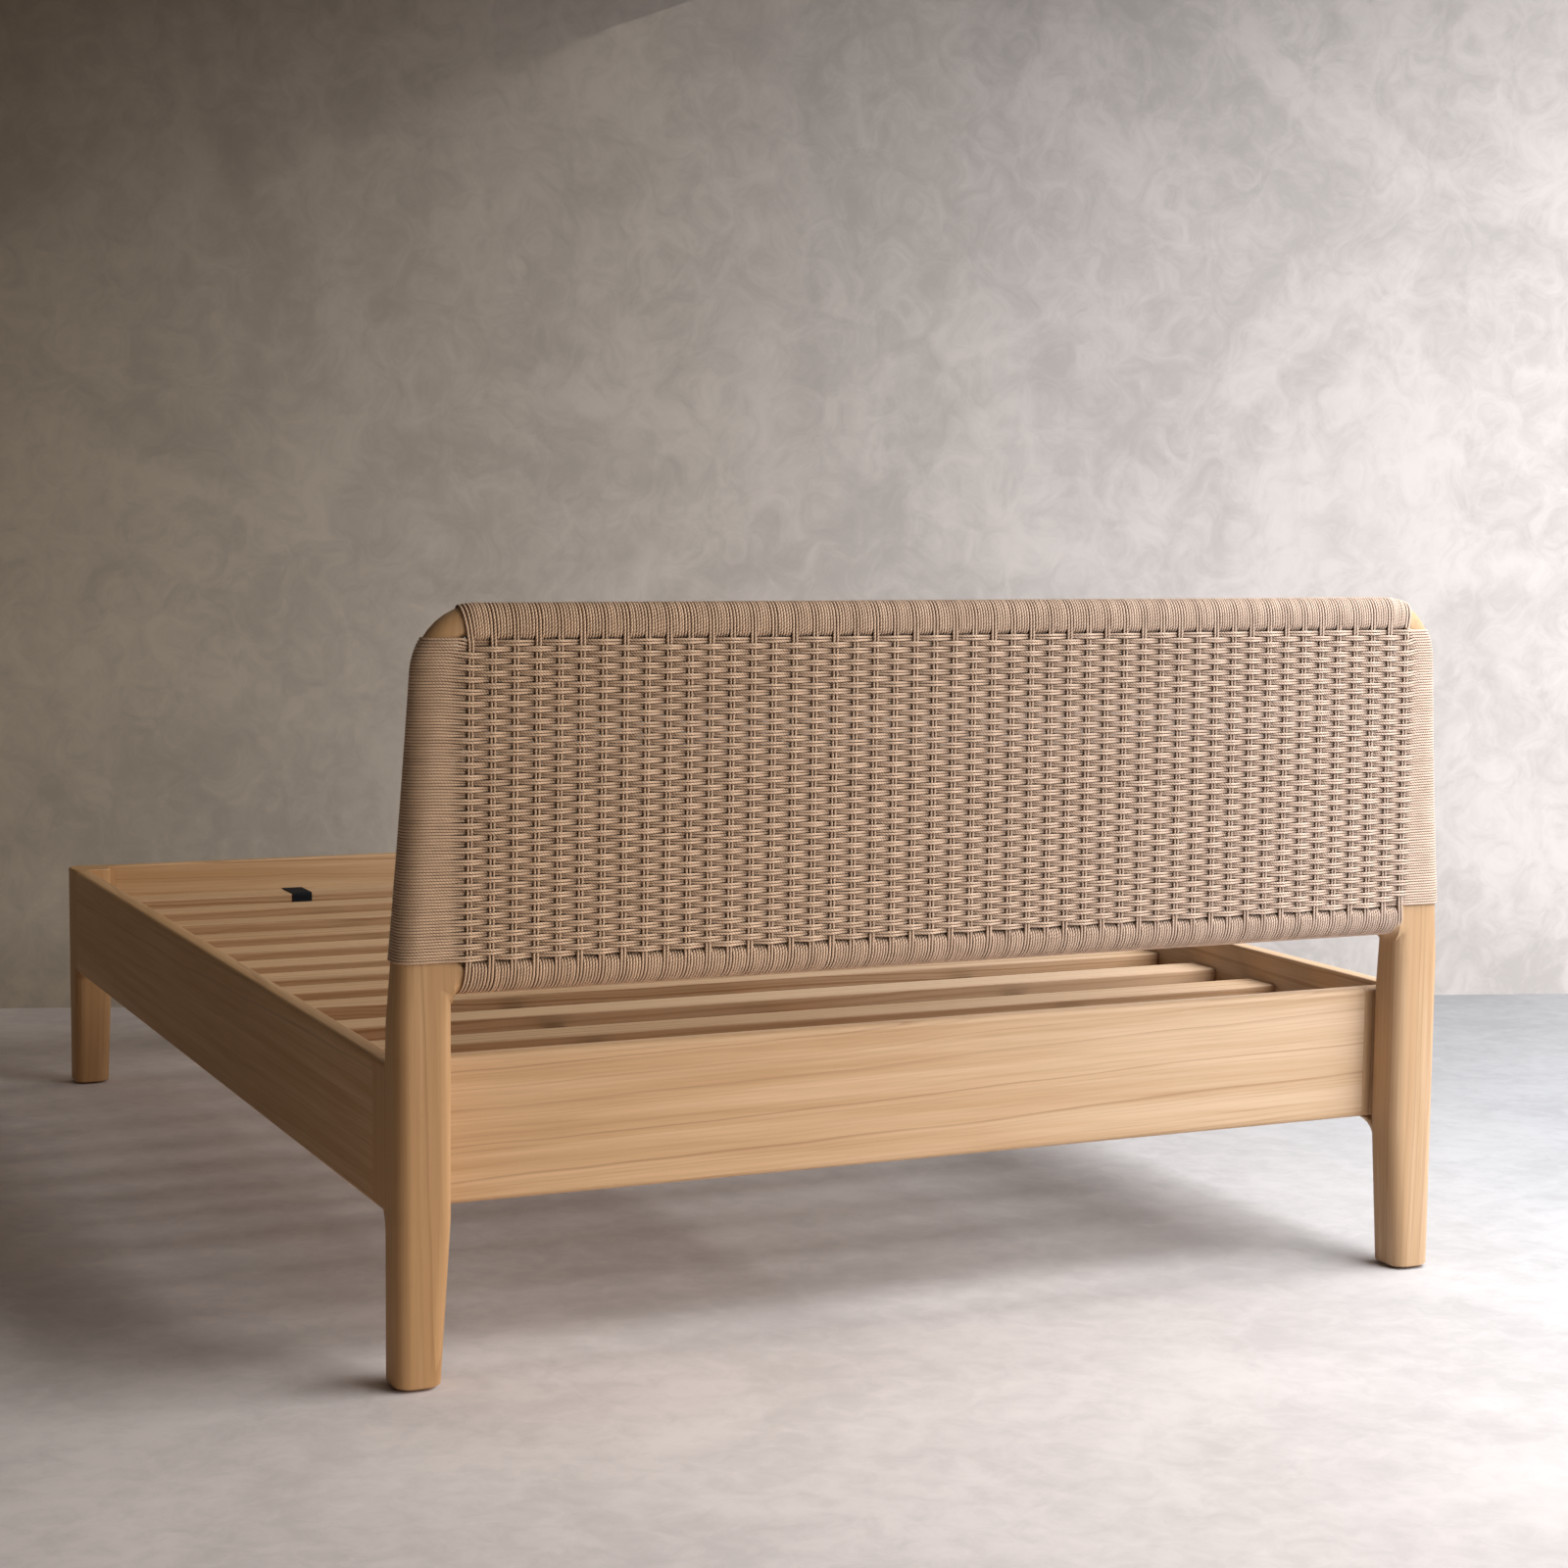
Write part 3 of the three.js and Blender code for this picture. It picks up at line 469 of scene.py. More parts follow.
def wood_material(name, axis, seed, pith, tone, contrast, tilt, painted_side_shade=0.0):
    """Wood whose grain runs along X, Y or Z; pith is where the tree's heart lies.

    The last value is how much painted shade darkens the faces that look along the bed.
    """
    settings = bpy.context.scene.bed_wood
    tree, finished = new_material(name, 0.5, 0.4, 0.35, 0.25 * MM)
    x, y, z, _ = object_place(tree)
    along, across, deep = {"X": (x, z, y), "Y": (y, z, x), "Z": (z, x, y)}[axis]
    facing = split(tree, add(tree, "ShaderNodeNewGeometry").outputs["True Normal"])
    # painted shade on the faces that look along the bed
    shade = times(tree, maths("ABSOLUTE", tree, facing[1]), painted_side_shade)
    grain = placed_group(
        tree, "wood_grain", Along=along, Across=across, Deep=deep, Pith_Across=pith[0],
        Pith_Deep=pith[1], Tilt=tilt, Seed=seed, Ring_Width=settings.ring_width,
        Contrast=contrast, Tone=tone, Shade=shade, Pale=settings.pale, Honey=settings.honey,
        Dark=settings.dark).outputs
    # the wood gets the painted-light tint across the bed
    return finished(tinted_with_painted_light(tree, x, grain["Color"]), grain["Height"],
                    Roughness=grain["Roughness"])


def cord_material():
    """Twisted paper cord, read from each cord's own map."""
    settings = bpy.context.scene.bed_cord
    tree, finished = new_material("paper_cord", 0.65, 0.35, 0.9, 0.45 * MM, 0.15)
    # the second map carries the rise, which sets the painted shade in the weave's hollows
    strand, relief = (split(tree, add(tree, "ShaderNodeUVMap", uv_map=label).outputs[0])
                      for label in ("strand", "relief"))
    x, _, _, place = object_place(tree)
    twist = placed_group(
        tree, "cord_twist", Around=strand[0], Along=strand[1], Rise=relief[0], Lay=settings.lay,
        Place=place, Pale=settings.pale, Shade=settings.shade).outputs
    # the cord gets the painted-light tint across the bed
    return finished(tinted_with_painted_light(tree, x, twist["Color"]), twist["Height"],
                    Roughness=twist["Roughness"], Sheen_Roughness=0.5)


# Dark and light colour of each fitting's material, and the webbing's pitches
WEBBING_COLOURS = ((0.004, 0.004, 0.005), (0.018, 0.017, 0.019))
STEEL_COLOURS = ((0.045, 0.047, 0.05), (0.085, 0.087, 0.09))
FELT_COLOURS = ((0.02, 0.017, 0.015), (0.09, 0.08, 0.07))
RIB_PITCH, PICK_PITCH = 1.6 * MM, 1.1 * MM


def webbing_material():
    """Black ribbed webbing."""
    tree, finished = new_material("black_webbing", 0.85, 0.15, 0.7, 0.3 * MM)
    x, y, _, place = object_place(tree)
    rib, pick = (maths("SINE", tree, times(tree, at, math.pi / pitch))
                 for at, pitch in ((y, RIB_PITCH), (x, PICK_PITCH)))
    weave = maths("ABSOLUTE", tree, times(tree, rib, pick))
    dust = noise(tree, place, 220.0, 3, 0.6)
    share = times_plus(tree, dust, 0.35, times(tree, weave, 0.5), clamp=True)
    return finished(mixed(tree, share, *WEBBING_COLOURS), weave)


def steel_material():
    """Dark powder-coated steel."""
    tree, finished = new_material("coated_steel", 0.5, 0.5, 0.25, 0.15 * MM)
    place = object_place(tree)[3]
    wear = smooth_step(tree, noise(tree, place, 60.0, 4, 0.6), 0.5, 0.75)
    return finished(mixed(tree, wear, *STEEL_COLOURS), noise(tree, place, 900.0, 2, 0.5),
                    Roughness=times_plus(tree, wear, 0.15, 0.4))


def felt_material():
    """Pressed wool felt."""
    tree, finished = new_material("felt", 0.95, 0.2, 0.8, 0.4 * MM, 0.4)
    place = object_place(tree)[3]
    fuzz = noise(tree, place, 1400.0, 4, 0.7)
    cloud = noise(tree, place, 130.0, 2, 0.5)
    share = times(tree, plus(tree, fuzz, cloud), 0.5)
    return finished(mixed(tree, share, *FELT_COLOURS), fuzz)


# Carried-over nodes
MERGE_DISTANCE = 0.01 * MM
SHARP_ANGLE = math.radians(50)


def smoothing_tree():
    """Geometry nodes that join a solid's faces and shade its round edges smoothly."""
    tree = bpy.data.node_groups.new("rounded_edges", "GeometryNodeTree")
    tree.interface.new_socket("Geometry", in_out="INPUT", socket_type="NodeSocketGeometry")
    tree.interface.new_socket("Geometry", in_out="OUTPUT", socket_type="NodeSocketGeometry")
    bare = add(tree, "GeometryNodeRemoveAttribute")
    bare.inputs["Name"].default_value = "custom_normal"
    merge = feed(tree, add(tree, "GeometryNodeMergeByDistance"), Distance=MERGE_DISTANCE)
    faces = add(tree, "GeometryNodeSetShadeSmooth", domain="FACE")
    angle = add(tree, "GeometryNodeInputMeshEdgeAngle").outputs["Unsigned Angle"]
    edges = add(tree, "GeometryNodeSetShadeSmooth", domain="EDGE")
    edges.inputs["Shade Smooth"].default_value = False
    chain = [add(tree, "NodeGroupInput"), bare, merge, faces, edges, add(tree, "NodeGroupOutput")]
    for first, second in zip(chain, chain[1:]):
        tree.links.new(first.outputs[0], second.inputs[0])
    feed(tree, edges, Selection=maths("GREATER_THAN", tree, angle, SHARP_ANGLE))
    return tree


def dress_node(name, material):
    """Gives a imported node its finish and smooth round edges."""
    node = frame["nodes"][name]
    node.data.materials.clear()
    node.data.materials.append(material)
    modifier = node.modifiers.new("rounded_edges", "NODES")
    modifier.node_group = bpy.data.node_groups.get("rounded_edges") or smoothing_tree()
    weighted = node.modifiers.new("even_faces", "WEIGHTED_NORMAL")
    weighted.keep_sharp = True


# Cords: how far each one strays from its even place
WARP_WANDER = WEFT_DRIFT = 0.15 * MM
WEFT_SAG = 0.2 * MM
WINDING_DRIFT = 0.12 * MM
UNEVEN_SHARE = 0.05  # of the space between two warps, and of a weft's height over them
WINDING_SLANT = 8 * MM  # per metre of height
# How much painted light a cord keeps against painted shade: a warp, a winding round a rail and one
# round a post
WARP_PAINTED_LIGHT, RAIL_PAINTED_LIGHT, POST_PAINTED_LIGHT = 0.75, 0.8, 0.7
# Where a weft has points between two warp pairs, as shares of the way
WEFT_SHARES = (0.0, 0.13, 0.32, 0.68, 0.87)
WEFT_STAND = 0.97  # a weft's height over the warps, in cord diameters
WEFT_SPREAD = 0.06  # how much farther apart a row's two cords are on its crests
WEFT_ROUND = 0.35  # share of a weft's bends that is round; the rest is straight
WARP_PUSH = 0.25 * MM
WANDER_TURN = 40.0  # radians per metre
POST_SHARES = (0.25, 0.5, 0.75, 1.0)
OUTLINE_STEPS, POST_STEPS = 6, 7
WINDING_FILL = 0.955  # share of the room between two warp pairs that the turns take up
FAN_TOP, FAN_FOOT, FAN_FADE = 8 * MM, 4 * MM, 24 * MM
WEFT_BANDS, WEFT_FOLDS = 4, 4  # the wefts' pieces, and each weft's strips in the bake's map
STRIP_SHARE = 0.84  # of a strip in the bake's map that a cord covers
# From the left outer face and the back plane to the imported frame; the rise stays
INTO_FRAME = np.array((-HALF_BED, BACK_PLANE, 0.0, 0.0))


def quarter(steps):
    """The angles that part a quarter turn in even steps."""
    return [math.pi / 2 * step / steps for step in range(steps + 1)]


def rounded_outline(corners, reaches):
    """Points round a closed flat outline whose corners are rounded off by two reaches each."""
    points = []
    corners = [Vector(corner) for corner in corners]
    for i, corner in enumerate(corners):
        before = (corners[i - 1] - corner).normalized() * reaches[i][0]
        after = (corners[(i + 1) % len(corners)] - corner).normalized() * reaches[i][1]
        points += [corner + before * (1 - math.sin(angle)) + after * (1 - math.cos(angle))
                   for angle in quarter(OUTLINE_STEPS)]
    return points


def quad_values(*corners):
    """Two values for each corner of every quad, in the order of the mesh's loops."""
    return np.stack([np.stack(corner, -1) for corner in corners], -2).reshape(-1, 2)


def cord_mesh(name, routes, radius, upright, sides, folds):
    """One mesh of many closed cords, whose routes all have the same number of points.

    A point's fourth value is its rise, from 0 in a hollow of the weave to 1 on its crests; it sets
    the painted shade.
    upright is the axis that the cord's section keeps, so that its first side faces out of the
    headboard; folds is the number of strips into which each cord is laid in the bake's map.
    """
    rises, routes = routes[..., 3], routes[..., :3]
    count, steps = rises.shape
    after = np.roll(routes, -1, axis=1)
    run = after - np.roll(routes, 1, axis=1)
    run /= np.linalg.norm(run, axis=2, keepdims=True)
    side = np.cross(run, np.array(upright, float))
    side /= np.linalg.norm(side, axis=2, keepdims=True)
    other = np.cross(side, run)
    turn = 2 * np.pi * np.arange(sides) / sides
    rim = np.cos(turn)[:, None] * side[:, :, None] + np.sin(turn)[:, None] * other[:, :, None]
    places = (routes[:, :, None] + radius * rim).reshape(-1, 3)

    c, s, k = np.indices((count, steps, sides))
    next_s, next_k = (s + 1) % steps, (k + 1) % sides
    base = c * steps * sides
    quads = np.stack([base + s * sides + k, base + s * sides + next_k,
                      base + next_s * sides + next_k, base + next_s * sides + k], -1).reshape(-1, 4)

    lengths = np.linalg.norm(after - routes, axis=2)
    reached = np.concatenate([np.zeros((count, 1)), np.cumsum(lengths, 1)], 1)
    along = reached + np.random.default_rng(len(name) + count).random(count)[:, None]
    begin = np.broadcast_to(along[:, :-1, None], c.shape)
    finish = np.broadcast_to(along[:, 1:, None], c.shape)
    here, beyond = k / sides, (k + 1) / sides
    strand = quad_values((here, begin), (beyond, begin), (beyond, finish), (here, finish))

    # the rise goes into a map of its own, where it sets the cord's painted shade
    rise = np.broadcast_to(rises[:, :, None], c.shape)
    next_rise, none = np.roll(rise, -1, axis=1), np.zeros(c.shape)
    relief = quad_values((rise, none), (rise, none), (next_rise, none), (next_rise, none))

    per_fold = math.ceil(steps / folds)
    strip = c * folds + s // per_fold + (1 - STRIP_SHARE) / 2
    low = (strip + STRIP_SHARE * here) / (count * folds)
    high = (strip + STRIP_SHARE * beyond) / (count * folds)
    left, right = s % per_fold / per_fold, (s % per_fold + 1) / per_fold
    bake = quad_values((left, low), (left, high), (right, high), (right, low))

    mesh = bpy.data.meshes.new(name)
    mesh.vertices.add(len(places))
    mesh.vertices.foreach_set("co", places.ravel())
    mesh.loops.add(len(quads) * 4)
    mesh.polygons.add(len(quads))
    mesh.loops.foreach_set("vertex_index", quads.ravel().astype(np.int32))
    mesh.polygons.foreach_set("loop_start", np.arange(len(quads), dtype=np.int32) * 4)
    mesh.polygons.foreach_set("use_smooth", np.ones(len(quads), bool))
    for label, values in (("strand", strand), ("relief", relief), ("OFBake", bake)):
        layer = mesh.uv_layers.new(name=label)
        layer.data.foreach_set("uv", values.ravel().astype(np.float32))
    mesh.uv_layers.active_index = 0
    mesh.uv_layers["strand"].active_render = True
    mesh.update(calc_edges=True)
    mesh.validate()
    return mesh


def cord_piece(settings, name, routes, upright, folds, *nodes):
    """Lays cords in the scene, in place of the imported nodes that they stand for."""
    mesh = cord_mesh(name, np.array(routes) + INTO_FRAME, settings.diameter / 2, upright,
                     settings.sides, folds)
    mesh.materials.append(bpy.data.materials.get("paper_cord") or cord_material())
    piece = bpy.data.objects.new(name, mesh)
    bpy.context.scene.collection.objects.link(piece)
    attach(piece, "root")
    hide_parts(*nodes)


def warp_place(settings, pair, z):
    """Where a warp pair stands at a height, from the left outer face."""
    share = pair / (settings.warp_pairs - 1)
    straight = settings.warp_start + (settings.warp_end - settings.warp_start) * share
    middle = (settings.weave_low + settings.weave_high) / 2
    lean = settings.warp_lean * (z - middle) / (settings.weave_high - settings.weave_low)
    return straight + lean * (1 - 2 * share)


def weave_level(settings, z, front):
    """The depth at which the warps lie on the back or front, and which way is out."""
    reach = WRAP_GAP + settings.diameter / 2
    return (front_depth(z) + reach, 1.0) if front else (-reach, -1.0)


def weft_shape(share):
    """How high a weft stands between crossing over one warp pair (1) and under the next (-1)."""
    return math.cos(math.pi * share) * WEFT_ROUND + (1 - 2 * share) * (1 - WEFT_ROUND)


def weft_over(settings, pair, row):
    """1 where a weft passes over a warp pair and -1 under it, as in two of the weave's corners."""
    corners = ((0, 0), (settings.warp_pairs - 1, settings.weft_rows - 1))
    return -1.0 if (pair + row) % 2 or (pair, row) in corners else 1.0


def weft_span(settings, row, offset, front, rng):
    """A weft cord's points from the first warp pair to the last."""
    row_height = (settings.weave_high - settings.weave_low) / settings.weft_rows
    z = settings.weave_high - row_height * (row + 0.5)
    points = []
    last = settings.warp_pairs - 1
    level, out = weave_level(settings, z, front)
    drift = rng.uniform(-WEFT_DRIFT, WEFT_DRIFT)
    for pair in range(last + 1):
        following = min(pair + 1, last)
        over, beyond_over = weft_over(settings, pair, row), weft_over(settings, following, row)
        here, beyond = warp_place(settings, pair, z), warp_place(settings, following, z)
        stand = settings.diameter * (WEFT_STAND + rng.uniform(-UNEVEN_SHARE, UNEVEN_SHARE))
        sag = rng.uniform(-WEFT_SAG, WEFT_SAG)
        for share in WEFT_SHARES if pair < last else WEFT_SHARES[:1]:
            swing = (1 + weft_shape(share)) / 2
            height = over * swing + beyond_over * (1 - swing)
            spread = offset * settings.diameter / 2 * (1 + WEFT_SPREAD * height)
            # the last value, the weft's rise in the weave, sets its painted shade in the hollows
            points.append((here + (beyond - here) * share, level + out * height * stand,
                           z + spread + drift + sag * math.sin(math.pi * share),
                           (1 + height) / 2))
    return points


def post_span(settings, z_row, z_post, start_y, end_y, first_x, right):
    """A weft cord's points round a post, from the back weave to the front weave."""
    reach = WRAP_GAP + settings.diameter / 2
    depth = front_depth(z_post)
    across, deep = outer_reaches(z_post)

    def place(inward):
        """Where the cord's line is that lies so far inside the outermost one."""
        rise = z_post - CORNER_CENTRE_Z
        if rise <= 0:
            return OUTER_SLOPE * max(0.0, z_post - TAPER_START) - reach + inward
        arc = (CORNER_RADIUS + reach - inward) ** 2 - rise ** 2
        return CORNER_CENTRE_X - math.sqrt(max(0.0, arc))

    back = [(place((across + reach) * (1 - math.sin(angle))),
             deep - (deep + reach) * math.cos(angle)) for angle in quarter(POST_STEPS)]
    end_x = max(POST_FLAT_END, back[0][0] + 2 * MM)

    def ramp(weave_y, face_y):
        """The way from the weave's edge to the post's flat face, in soft steps."""
        return [[first_x + (end_x - first_x) * share,
                 weave_y + (face_y - weave_y) * (share * share * (3 - 2 * share))]
                for share in POST_SHARES]

    points = [*ramp(start_y, -reach), *map(list, back),
              *[[x, depth - y] for x, y in reversed(back)],
              *reversed(ramp(end_y, depth + reach))]
    for point in points:
        share = between(first_x - point[0], 0.0, first_x - back[0][0])
        point += [z_row + (z_post - z_row) * share, POST_PAINTED_LIGHT]
        if right:
            point[0] = 2 * HALF_BED - point[0]
    return points


def weft_loop(settings, row, cord, rng):
    """One weft cord: across the back, round the right post, across the front, round the left."""
    back, front = (weft_span(settings, row, 1 - 2 * cord, face, rng) for face in (False, True))
    pitch = (settings.post_wrap_high - settings.weave_low) / (2 * settings.weft_rows)
    z = settings.post_wrap_high - pitch * (2 * row + cord + 0.5)
    far_x = 2 * HALF_BED - back[-1][0]
    right = post_span(settings, back[-1][2], z, back[-1][1], front[-1][1], far_x, True)
    left = post_span(settings, back[0][2], z, back[0][1], front[0][1], back[0][0], False)
    return [*back, *right, *reversed(front), *reversed(left)]


class BED_OT_wefts(bpy.types.Operator):
    """Weave the level cords and wind them round the posts"""

    bl_idname = "bed.wefts"
    bl_label = "Weft cords"

    def execute(self, context):
        settings = context.scene.bed_cord
        rng = random.Random(53)
        stands_for = ("woven_sheet_back", "woven_sheet_front",
                      "post_cord_wrap_left", "post_cord_wrap_right")
        for i, band in enumerate(np.array_split(np.arange(settings.weft_rows), WEFT_BANDS)):
            routes = [weft_loop(settings, int(row), cord, rng) for row in band for cord in (0, 1)]
            cord_piece(settings, f"weft_cords_{i + 1}", routes, (0, 0, 1), WEFT_FOLDS,
                       *stands_for)
        return {"FINISHED"}


def rail_points(settings, x, is_top, slant=0.0):
    """A cord's points round a headboard rail, up its back and down its front.

    Cords near either end of the rail lean out, away from the weave.
    """
    if is_top:
        low, high, start, fan = TOP_RAIL_FOOT, rail_top_at(x), settings.weave_high, FAN_TOP
    else:
        low, high, start, fan = BOTTOM_RAIL_FOOT, BOTTOM_RAIL_TOP, settings.weave_low, FAN_FOOT
    reach = WRAP_GAP + settings.diameter / 2
    corners = [(-reach, low - reach), (-reach, high + reach),
               (front_depth(high) + reach, high + reach), (front_depth(low) + reach, low - reach)]
    edge = RAIL_EDGE + reach
    deep = front_depth(low) * DEPTH_ROUND_SHARE + reach
    if is_top:
        tall = (high - low) * OUTER_ROUND_SHARE + reach
        reaches = [(edge, edge), (tall, deep), (deep, tall), (edge, edge)]
    else:
        tall = BOTTOM_RAIL_ROUND + reach
        reaches = [(deep, tall), (edge, edge), (edge, edge), (tall, deep)]
    away = max(0.0, min(x - settings.warp_start, settings.warp_end - x))
    lean = fan * math.exp(-away / FAN_FADE) / (HEADBOARD_TOP - settings.weave_high)
    if x < HALF_BED:
        lean = -lean
    return [(x + lean * abs(z - start) + slant * (z - start), y, z, RAIL_PAINTED_LIGHT)
            for y, z in rounded_outline(corners, reaches)]


def warp_side(settings, pair, spread, wander, front):
    """A warp cord's points up one face of the headboard."""
    rows = settings.weft_rows
    row_height = (settings.weave_high - settings.weave_low) / rows
    points = []
    for i in range(rows):
        z = settings.weave_low + row_height * (i + 0.5)
        x = warp_place(settings, pair, z) + spread + wander * math.sin(z * WANDER_TURN)
        level, out = weave_level(settings, z, front)
        press = WARP_PUSH * weft_over(settings, pair, rows - 1 - i)
        points.append((x, level - out * press, z, WARP_PAINTED_LIGHT))
    return points


class BED_OT_warps(bpy.types.Operator):
    """Run the upright cord pairs over the top rail and under the bottom rail"""

    bl_idname = "bed.warps"
    bl_label = "Warp cords"

    def execute(self, context):
        settings = context.scene.bed_cord
        rng = random.Random(49)
        corner = OUTLINE_STEPS + 1
        routes = []
        for pair in range(settings.warp_pairs):
            for cord in (-0.5, 0.5):
                spread = cord * settings.warp_pair_gap
                spread *= 1 + rng.uniform(-UNEVEN_SHARE, UNEVEN_SHARE)
                wander = rng.uniform(-WARP_WANDER, WARP_WANDER)
                top_x, low_x = (warp_place(settings, pair, z) + spread
                                for z in (settings.weave_high, settings.weave_low))
                back, face = (warp_side(settings, pair, spread, wander, front)
                              for front in (False, True))
                over = rail_points(settings, top_x, True)[corner:3 * corner]
                under = rail_points(settings, low_x, False)
                routes.append([*back, *over, *reversed(face), *under[3 * corner:],
                               *under[:corner]])
        cord_piece(settings, "warp_cords", routes, (-1, 0, 0), 1,
                   "woven_sheet_back", "woven_sheet_front")
        return {"FINISHED"}


class BED_OT_rail_windings(bpy.types.Operator):
    """Wind the filler cords round the headboard's top and bottom rails"""

    bl_idname = "bed.rail_windings"
    bl_label = "Rail windings"

    def execute(self, context):
        settings = context.scene.bed_cord
        rng = random.Random(5)
        for label, z_at in (("top", settings.weave_high), ("bottom", settings.weave_low)):
            is_top = label == "top"
            routes = []
            for pair in range(settings.warp_pairs - 1):
                turns = settings.filler_turns + (is_top and pair in (0, settings.warp_pairs - 2))
                here = warp_place(settings, pair, z_at)
                beyond = warp_place(settings, pair + 1, z_at)
                room = (beyond - here) - settings.warp_pair_gap
                pitch = room / (turns + 1) * WINDING_FILL
                for i in range(turns):
                    x = (here + beyond) / 2 + (i - (turns - 1) / 2) * pitch
                    x += rng.uniform(-WINDING_DRIFT, WINDING_DRIFT)
                    slant = rng.uniform(-WINDING_SLANT, WINDING_SLANT)
                    routes.append(rail_points(settings, x, is_top, slant))
            cord_piece(settings, f"{label}_rail_winding", routes, (-1, 0, 0), 1,
                       f"{label}_rail_cord_wrap")
        return {"FINISHED"}


# Wood pieces: grain axis, heart of the tree (across, deep), tone, contrast, tilt
WOOD_PIECES = {
    "headboard_post_left": ("Z", (-0.82, -0.93), 1.15, 0.7, 0.03),
    "headboard_post_right": ("Z", (0.64, -0.92), 0.85, 0.75, -0.02),
    "headboard_top_rail": ("X", (0.80, -1.0), 0.5, 0.5, 0.02),
    "headboard_bottom_rail": ("X", (0.40, -1.0), 0.5, 0.5, 0.02),
    "back_rail": ("X", (0.06, -0.90), 0.35, 0.55, -0.03),
    "foot_rail": ("X", (0.02, 1.18), 0.8, 0.55, 0.03),
    "side_rail_left": ("Y", (0.02, -0.70), 0.8, 0.55, 0.02),
    "side_rail_right": ("Y", (0.05, 0.66), 0.4, 0.55, -0.03),
    "foot_leg_left": ("Z", (-0.66, 1.20), 1.1, 0.55, 0.02),
    "foot_leg_right": ("Z", (0.64, 1.20), 0.6, 0.55, 0.02),
    "slat_ledger_left": ("Y", (0.10, -0.70), 0.5, 0.5, 0.02),
    "slat_ledger_right": ("Y", (0.10, 0.70), 0.5, 0.5, 0.02),
    "centre_beam": ("Y", (0.10, 0.10), 0.5, 0.5, 0.02),
    "centre_leg": ("Z", (0.10, 0.20), 0.5, 0.5, 0.02),
}
# Between what values a slat's tone, contrast and tilt lie, and how much painted shade darkens its
# faces that look along the bed
SLAT_SPANS = ((-0.3, 0.4), (0.8, 1.2), (-0.02, 0.02))
SLAT_PAINTED_SHADE = 0.62


class BED_OT_frame_wood(bpy.types.Operator):
    """Give the headboard, rails, legs and what carries the slats their wood grain"""

    bl_idname = "bed.frame_wood"
    bl_label = "Frame wood"

    def execute(self, context):
        for i, (name, (axis, *look)) in enumerate(WOOD_PIECES.items()):
            dress_node(name, wood_material(f"wood_{name}", axis, 3.7 * i + 1.3, *look))
        return {"FINISHED"}


class BED_OT_slats(bpy.types.Operator):
    """Give each slat its own board of wood"""

    bl_idname = "bed.slats"
    bl_label = "Slats"

    def execute(self, context):
        rng = random.Random(12)
        names = sorted(name for name in frame["nodes"] if re.fullmatch(r"slat_\d+", name))
        if not names:
            raise RuntimeError("the packed model has no slats")
        for i, name in enumerate(names):
            low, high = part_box(name)
            side = -1 if i % 2 else 1
            pith = ((low.z + high.z) / 2 - rng.uniform(0.03, 0.10),
                    (low.y + high.y) / 2 + side * rng.uniform(0.05, 0.12))
            look = [rng.uniform(*span) for span in SLAT_SPANS]
            dress_node(name, wood_material(f"wood_{name}", "X", 31.0 + 5.1 * i, pith, *look,
                                           SLAT_PAINTED_SHADE))
        return {"FINISHED"}


class BED_OT_fittings(bpy.types.Operator):
    """Finish the webbing, the steel fittings and the felt glides"""

    bl_idname = "bed.fittings"
    bl_label = "Fittings"

    def execute(self, context):
        webbing, steel, felt = webbing_material(), steel_material(), felt_material()
        for name in frame["nodes"]:
            if name.startswith("slat_strap"):
                dress_node(name, webbing)
            elif name.startswith("glide"):
                dress_node(name, felt)
            elif any(word in name for word in ("bracket", "bolt", "hanger", "stud")):
                dress_node(name, steel)
        return {"FINISHED"}


# Stage
WALL_PLACE, WALL_RUN = Vector((-0.794, 1.912)), Vector((0.9497, -0.3133))
CAMERA_PLACE = (-1.84146, -4.48414, 1.12947)
CAMERA_YAW, CAMERA_PITCH, CAMERA_ROLL = 0.431056432, -0.0981706113, 0.0101945955
CAMERA_LENS_MM, SENSOR_MM = 66.003, 36.0
CLIP_START, CLIP_END = 0.05, 100.0
STAGE_REACH, WALL_HEIGHT = 12.0, 6.0
# Floor and wall: noise scale, swirl, mottle, painted-light tint on the left and on the right
FLOOR_LOOK = (2.2, 1.0, 0.1, (1.42, 1.27, 1.18), (0.67, 0.685, 0.71))
WALL_LOOK = (1.3, 2.6, 0.14, (1.06, 0.95, 0.75), (1.0, 0.99, 1.0))
# Where the painted-light tint changes from the left one to the right one, along X
PAINTED_LIGHT_SPAN = (-1.6, 1.8)
# The painted shade under the key lamp: where it starts, along X and Y, and ends, along X
PAINTED_SHADE_FROM_X, PAINTED_SHADE_FROM_Y, PAINTED_SHADE_TO_X = (-0.8, 2.0), (-1.7, -3.4), (3.6, 6.5)
PAINTED_SHADE_TINT = (0.36, 0.36, 0.37)
# Lamps: place, the way they face, width, length, colour
KEY_LAMP = ((2.45, -4.18, 2.3), (0.25, 0.11, -0.96), 3.3, 7.2, (0.97, 0.985, 1.0))
FOOT_LAMP = ((0.0, 1.1, 2.6), (0.0, -0.75, -0.66), 2.4, 1.2, (1.0, 0.96, 0.9))
FILL_COLOUR, BACKGROUND_COLOUR = (1.0, 0.77, 0.52), (0.66, 0.64, 0.62)


def stage_sheet(name, corners, material):
    """A flat four-sided stage surface."""
    mesh = bpy.data.meshes.new(name)
    mesh.from_pydata(corners, [], [(0, 1, 2, 3)])
    mesh.materials.append(material)
    piece = bpy.data.objects.new(name, mesh)
    bpy.context.scene.collection.objects.link(piece)


